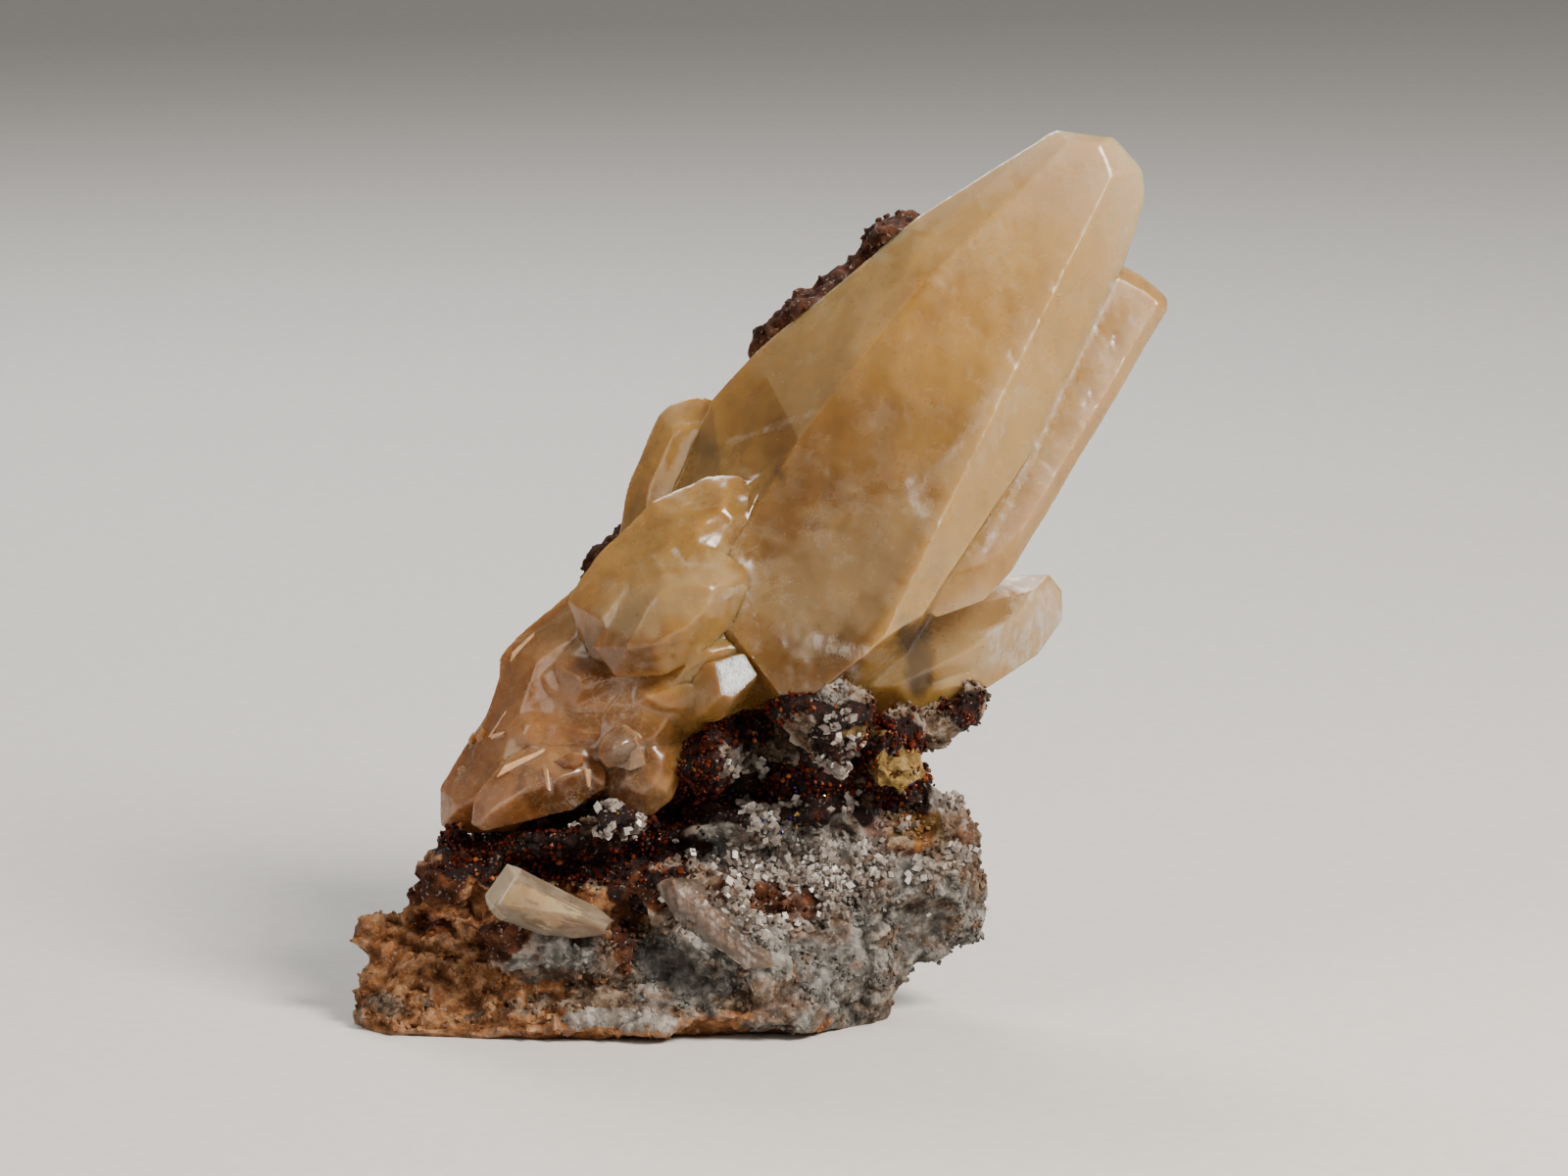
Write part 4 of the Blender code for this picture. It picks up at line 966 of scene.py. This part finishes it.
def build_grains(rock):
    """The grains that have grown on the rock, each kind where the picture shows it, and its crumbs."""
    mesh = rock.data
    drawn = to_drawn(coordinates(mesh))
    zone = zones_at(drawn)
    up = drawn[:, 2] > 5.5

    # sphalerite, grown as a druse: dark red-brown, clear at the edges, with a shine like resin; the few
    # brightest orange grains are painted glints
    dark = grain_material(
        "sphalerite_druse", ((0.0, "#190502"), (0.6, "#3c1007"), (0.96, "#5e1f0d"), (1.0, "#b06a38")),
        (0.16, 0.5), ior=1.65, scatter=0.3, glint="#c08468",
    )
    bare = 1 - np.clip(np.maximum(zone["grey"], zone["pale"]), 0, 1)
    bare = bare * (zone["ochre"] < 0.6)
    weight = np.clip(zone["crust"] - 0.25, 0, 1) * (0.05 + bare) * up
    weight = weight + 0.002 * (zone["brown"] + zone["umber_and_shade"] < 0.4) * up
    px, pz = pixel(795, 900)
    specked = smooth(1.2, 0.6, np.hypot((drawn[:, 0] - px) / 8.0, (drawn[:, 2] - pz) / 4.6))
    specked = specked * (drawn[:, 1] < 2)
    weight = weight + 0.05 * specked * smooth(-0.1, 0.4, clouds(drawn, 1.5, 2, 51.0))
    weight = weight * (0.25 + smooth(-0.2, 0.3, clouds(drawn, 2.2, 3, 61.0)))
    places, outward, _ = scatter_on(mesh, weight, SPHALERITE_COUNT)
    sizes = rng.uniform(*SPHALERITE_GRAIN, len(places))
    sizes = sizes * (1 + 0.8 * (rng.random(len(places)) > 0.94))
    sprinkle("sphalerite_grains", places, outward, sizes, ["round"] * 5 + ["tetrahedron"], dark, "rock")

    # dolomite, grown as rhombs: grey to white, milky, with small bright faces
    white = grain_material(
        "dolomite_rhombs", ((0.0, "#574b43"), (0.6, "#8a7f76"), (0.9, "#aea49b"), (1.0, "#ded9d2")),
        (0.2, 0.5), ior=1.6, scatter=0.4,
    )
    weight = np.clip(zone["grey"] + zone["pale"] * 1.5 - 0.3, 0, 1) * up * (drawn[:, 1] < 6)
    weight = weight * smooth(0.0, 0.4, clouds(drawn, 4.0, 2, 21.0)) * smooth(12.0, 20.0, drawn[:, 2])
    weight = weight * smooth(35.0, 27.0, drawn[:, 2] - drawn[:, 0] * 0.1)
    weight = weight + 0.5 * specked * (zone["umber_and_shade"] < 0.5)
    places, outward, _ = scatter_on(mesh, weight + 1e-9, DOLOMITE_COUNT)
    sizes = rng.uniform(*DOLOMITE_GRAIN, len(places))
    sprinkle("dolomite_grains", places, outward, sizes, ["rhomb"], white, "rock", 0.2)

    # crumbs of the rock itself, in its own look
    weight = np.clip(1.1 - zone["crust"] * 1.2, 0.03, 1) * smooth(-0.3, 0.4, clouds(drawn, 3.0, 2, 31.0))
    weight = weight * (1 - 0.6 * np.clip(zone["brown"], 0, 1)) * (1 - 0.8 * np.clip(zone["umber_and_shade"], 0, 1))
    weight = weight * (coordinates(mesh)[:, 2] > 0.0008)
    held = {k: np.clip(v, 0, 1) for k, v in zone.items()}
    held["hollow"] = np.full(len(drawn), 0.42)
    places, outward, kept = scatter_on(mesh, weight, CRUMB_COUNT, held)
    sizes = rng.uniform(*CRUMB_GRAIN, len(places))
    sprinkle("crumb_grains", places, outward, sizes, ["rhomb"], mesh.materials[0], "rock", 0.05, kept)

    # chalcopyrite, tarnished: brassy metal with blue and purple films
    gold = grain_material(
        "chalcopyrite_tarnished", ((0.0, "#1c2f6e"), (0.25, "#4a2a6a"), (0.45, "#8a5a2a"), (1.0, "#d9b060")),
        (0.12, 0.3), metallic=1.0,
    )
    # where it sits in the picture, and how far round there in mm
    spots = (
        (625, 825, 1.6), (728, 852, 1.0), (810, 822, 2.2), (925, 790, 1.2), (640, 842, 0.6), (715, 778, 2.4),
    )
    weight = np.zeros(len(drawn))
    for u, v, reach in spots:
        px, pz = pixel(u, v)
        weight += np.exp(-(((drawn[:, 0] - px) ** 2 + (drawn[:, 2] - pz) ** 2) / reach**2))
    weight = weight * (drawn[:, 1] < 4) * up + 1e-9
    places, outward, _ = scatter_on(mesh, weight, CHALCOPYRITE_COUNT)
    sizes = rng.uniform(*CHALCOPYRITE_GRAIN, len(places))
    sprinkle("chalcopyrite_grains", places, outward, sizes, ["tetrahedron", "round"], gold, "rock", 0.3)


# Light, floor and camera

def area_light(name, direction, distance, size, power, colour, target):
    """A round soft light. direction leads from the target to the light."""
    data = bpy.data.lights.new(name, "AREA")
    data.shape = "DISK"
    data.size = size
    data.energy = power
    data.color = hex_colour(colour)[:3]
    lamp = bpy.data.objects.new(name, data)
    bpy.context.scene.collection.objects.link(lamp)
    way = Vector(direction).normalized()
    lamp.location = target + way * distance
    lamp.rotation_euler = way.to_track_quat("Z", "Y").to_euler()


def build_studio():
    """Soft light from the upper right, weaker light from the left and from behind, a pale floor and the
    camera at the picture's angle, 1 m away."""
    target = Vector((0.003, 0.008, 0.0415))
    area_light("key", (0.6, -0.5, 0.65), 0.55, 0.24, 6.4, "#fff6ec", target)
    area_light("fill", (-0.8, -0.6, 0.5), 0.7, 0.5, 1.8, "#fff8f0", target)
    area_light("back", (-0.2, 0.9, 0.8), 0.6, 0.3, 2.4, "#ffffff", target)

    bm = bmesh.new()
    bmesh.ops.create_grid(bm, x_segments=2, y_segments=2, size=1.5)
    mesh = bpy.data.meshes.new("floor")
    bm.to_mesh(mesh)
    bm.free()
    floor = bpy.data.objects.new("floor", mesh)
    bpy.context.scene.collection.objects.link(floor)
    # studio paper, matt: pale and even, with fibres too faint to see as such
    made, add, shader = new_material("studio_paper")
    place = add("TexCoord", {}, out="Object")
    fibre = add("TexNoise", {"Vector": place, "Scale": 1000 / 2.0, "Detail": 4})
    tint = add("ValToRGB", {0: fibre}, ((0.3, "#cfccc8"), (0.7, "#d6d3cf")))
    feed(shader, {"Base Color": tint, "Roughness": 0.9})
    mesh.materials.append(made)

    world = bpy.data.worlds.new("studio")
    bpy.context.scene.world = world
    world.use_nodes = True
    feed(world.node_tree.nodes["Background"], {"Color": hex_colour("#d9d8d6"), "Strength": 0.3})

    data = bpy.data.cameras.new("camera")
    data.sensor_width = 36
    data.lens = 225
    data.clip_start = 0.01
    data.clip_end = 20
    camera = bpy.data.objects.new("camera", data)
    bpy.context.scene.collection.objects.link(camera)
    back = Vector((0, -math.cos(VIEW_TILT), math.sin(VIEW_TILT)))
    camera.location = Vector((0.003, 0.00802, 0.0415)) + back
    camera.rotation_euler = back.to_track_quat("Z", "Y").to_euler()
    bpy.context.scene.camera = camera


cluster = build_calcite()
build_small_calcites(cluster)
build_flakes(cluster)
# clear calcite, grown: pale and glassy, with golden streaks that are painted reflections
build_prism(
    "ledge_crystal", "ledge_prism", "clear_calcite",
    calcite(
        "calcite_clear_grown", ("#6f5a4a", "#87705c", "#a08a72"), ("#8f7148", "#c6a573", "#ecd5a8"),
        "#d8cbb4", (0.08, 0.24), 0.6, 0.5,
    ),
    [
        # the warm streaks are painted golden reflections, and the frost line along an edge is a painted
        # highlight
        ((531, 901), (592, 927), 0.8, "warmth", 1.0), ((524, 908), (570, 934), 0.9, "warmth", 0.8),
        ((508, 905), (526, 882), 1.3, "milky_and_lit", 0.9), ((512, 930), (560, 950), 0.8, "milky_and_lit", 0.55),
        ((502, 912), (519, 929), 0.3, "frost_and_highlight", 0.9),
    ],
    0.02,
)
# pinkish calcite, frosted: dull etched faces, with the brown of the rock in it
build_prism(
    "lying_crystal", "lying_prism", "pink_calcite",
    calcite(
        "calcite_pink_frosted", ("#3c3128", "#57483c", "#74624f"), ("#5c473a", "#806350", "#a3866d"),
        "#806d5d", (0.3, 0.6), 0.6, 0.2,
    ),
    [
        ((680, 895), (755, 962), 0.6, "warmth", 0.7), ((700, 900), (740, 935), 0.5, "warmth", 0.6),
        ((690, 900), (770, 972), 0.25, "frost_and_highlight", 0.35),
    ],
    0.16,
)
rock = build_rock()
build_grains(rock)
build_studio()

bpy.context.view_layer.update()
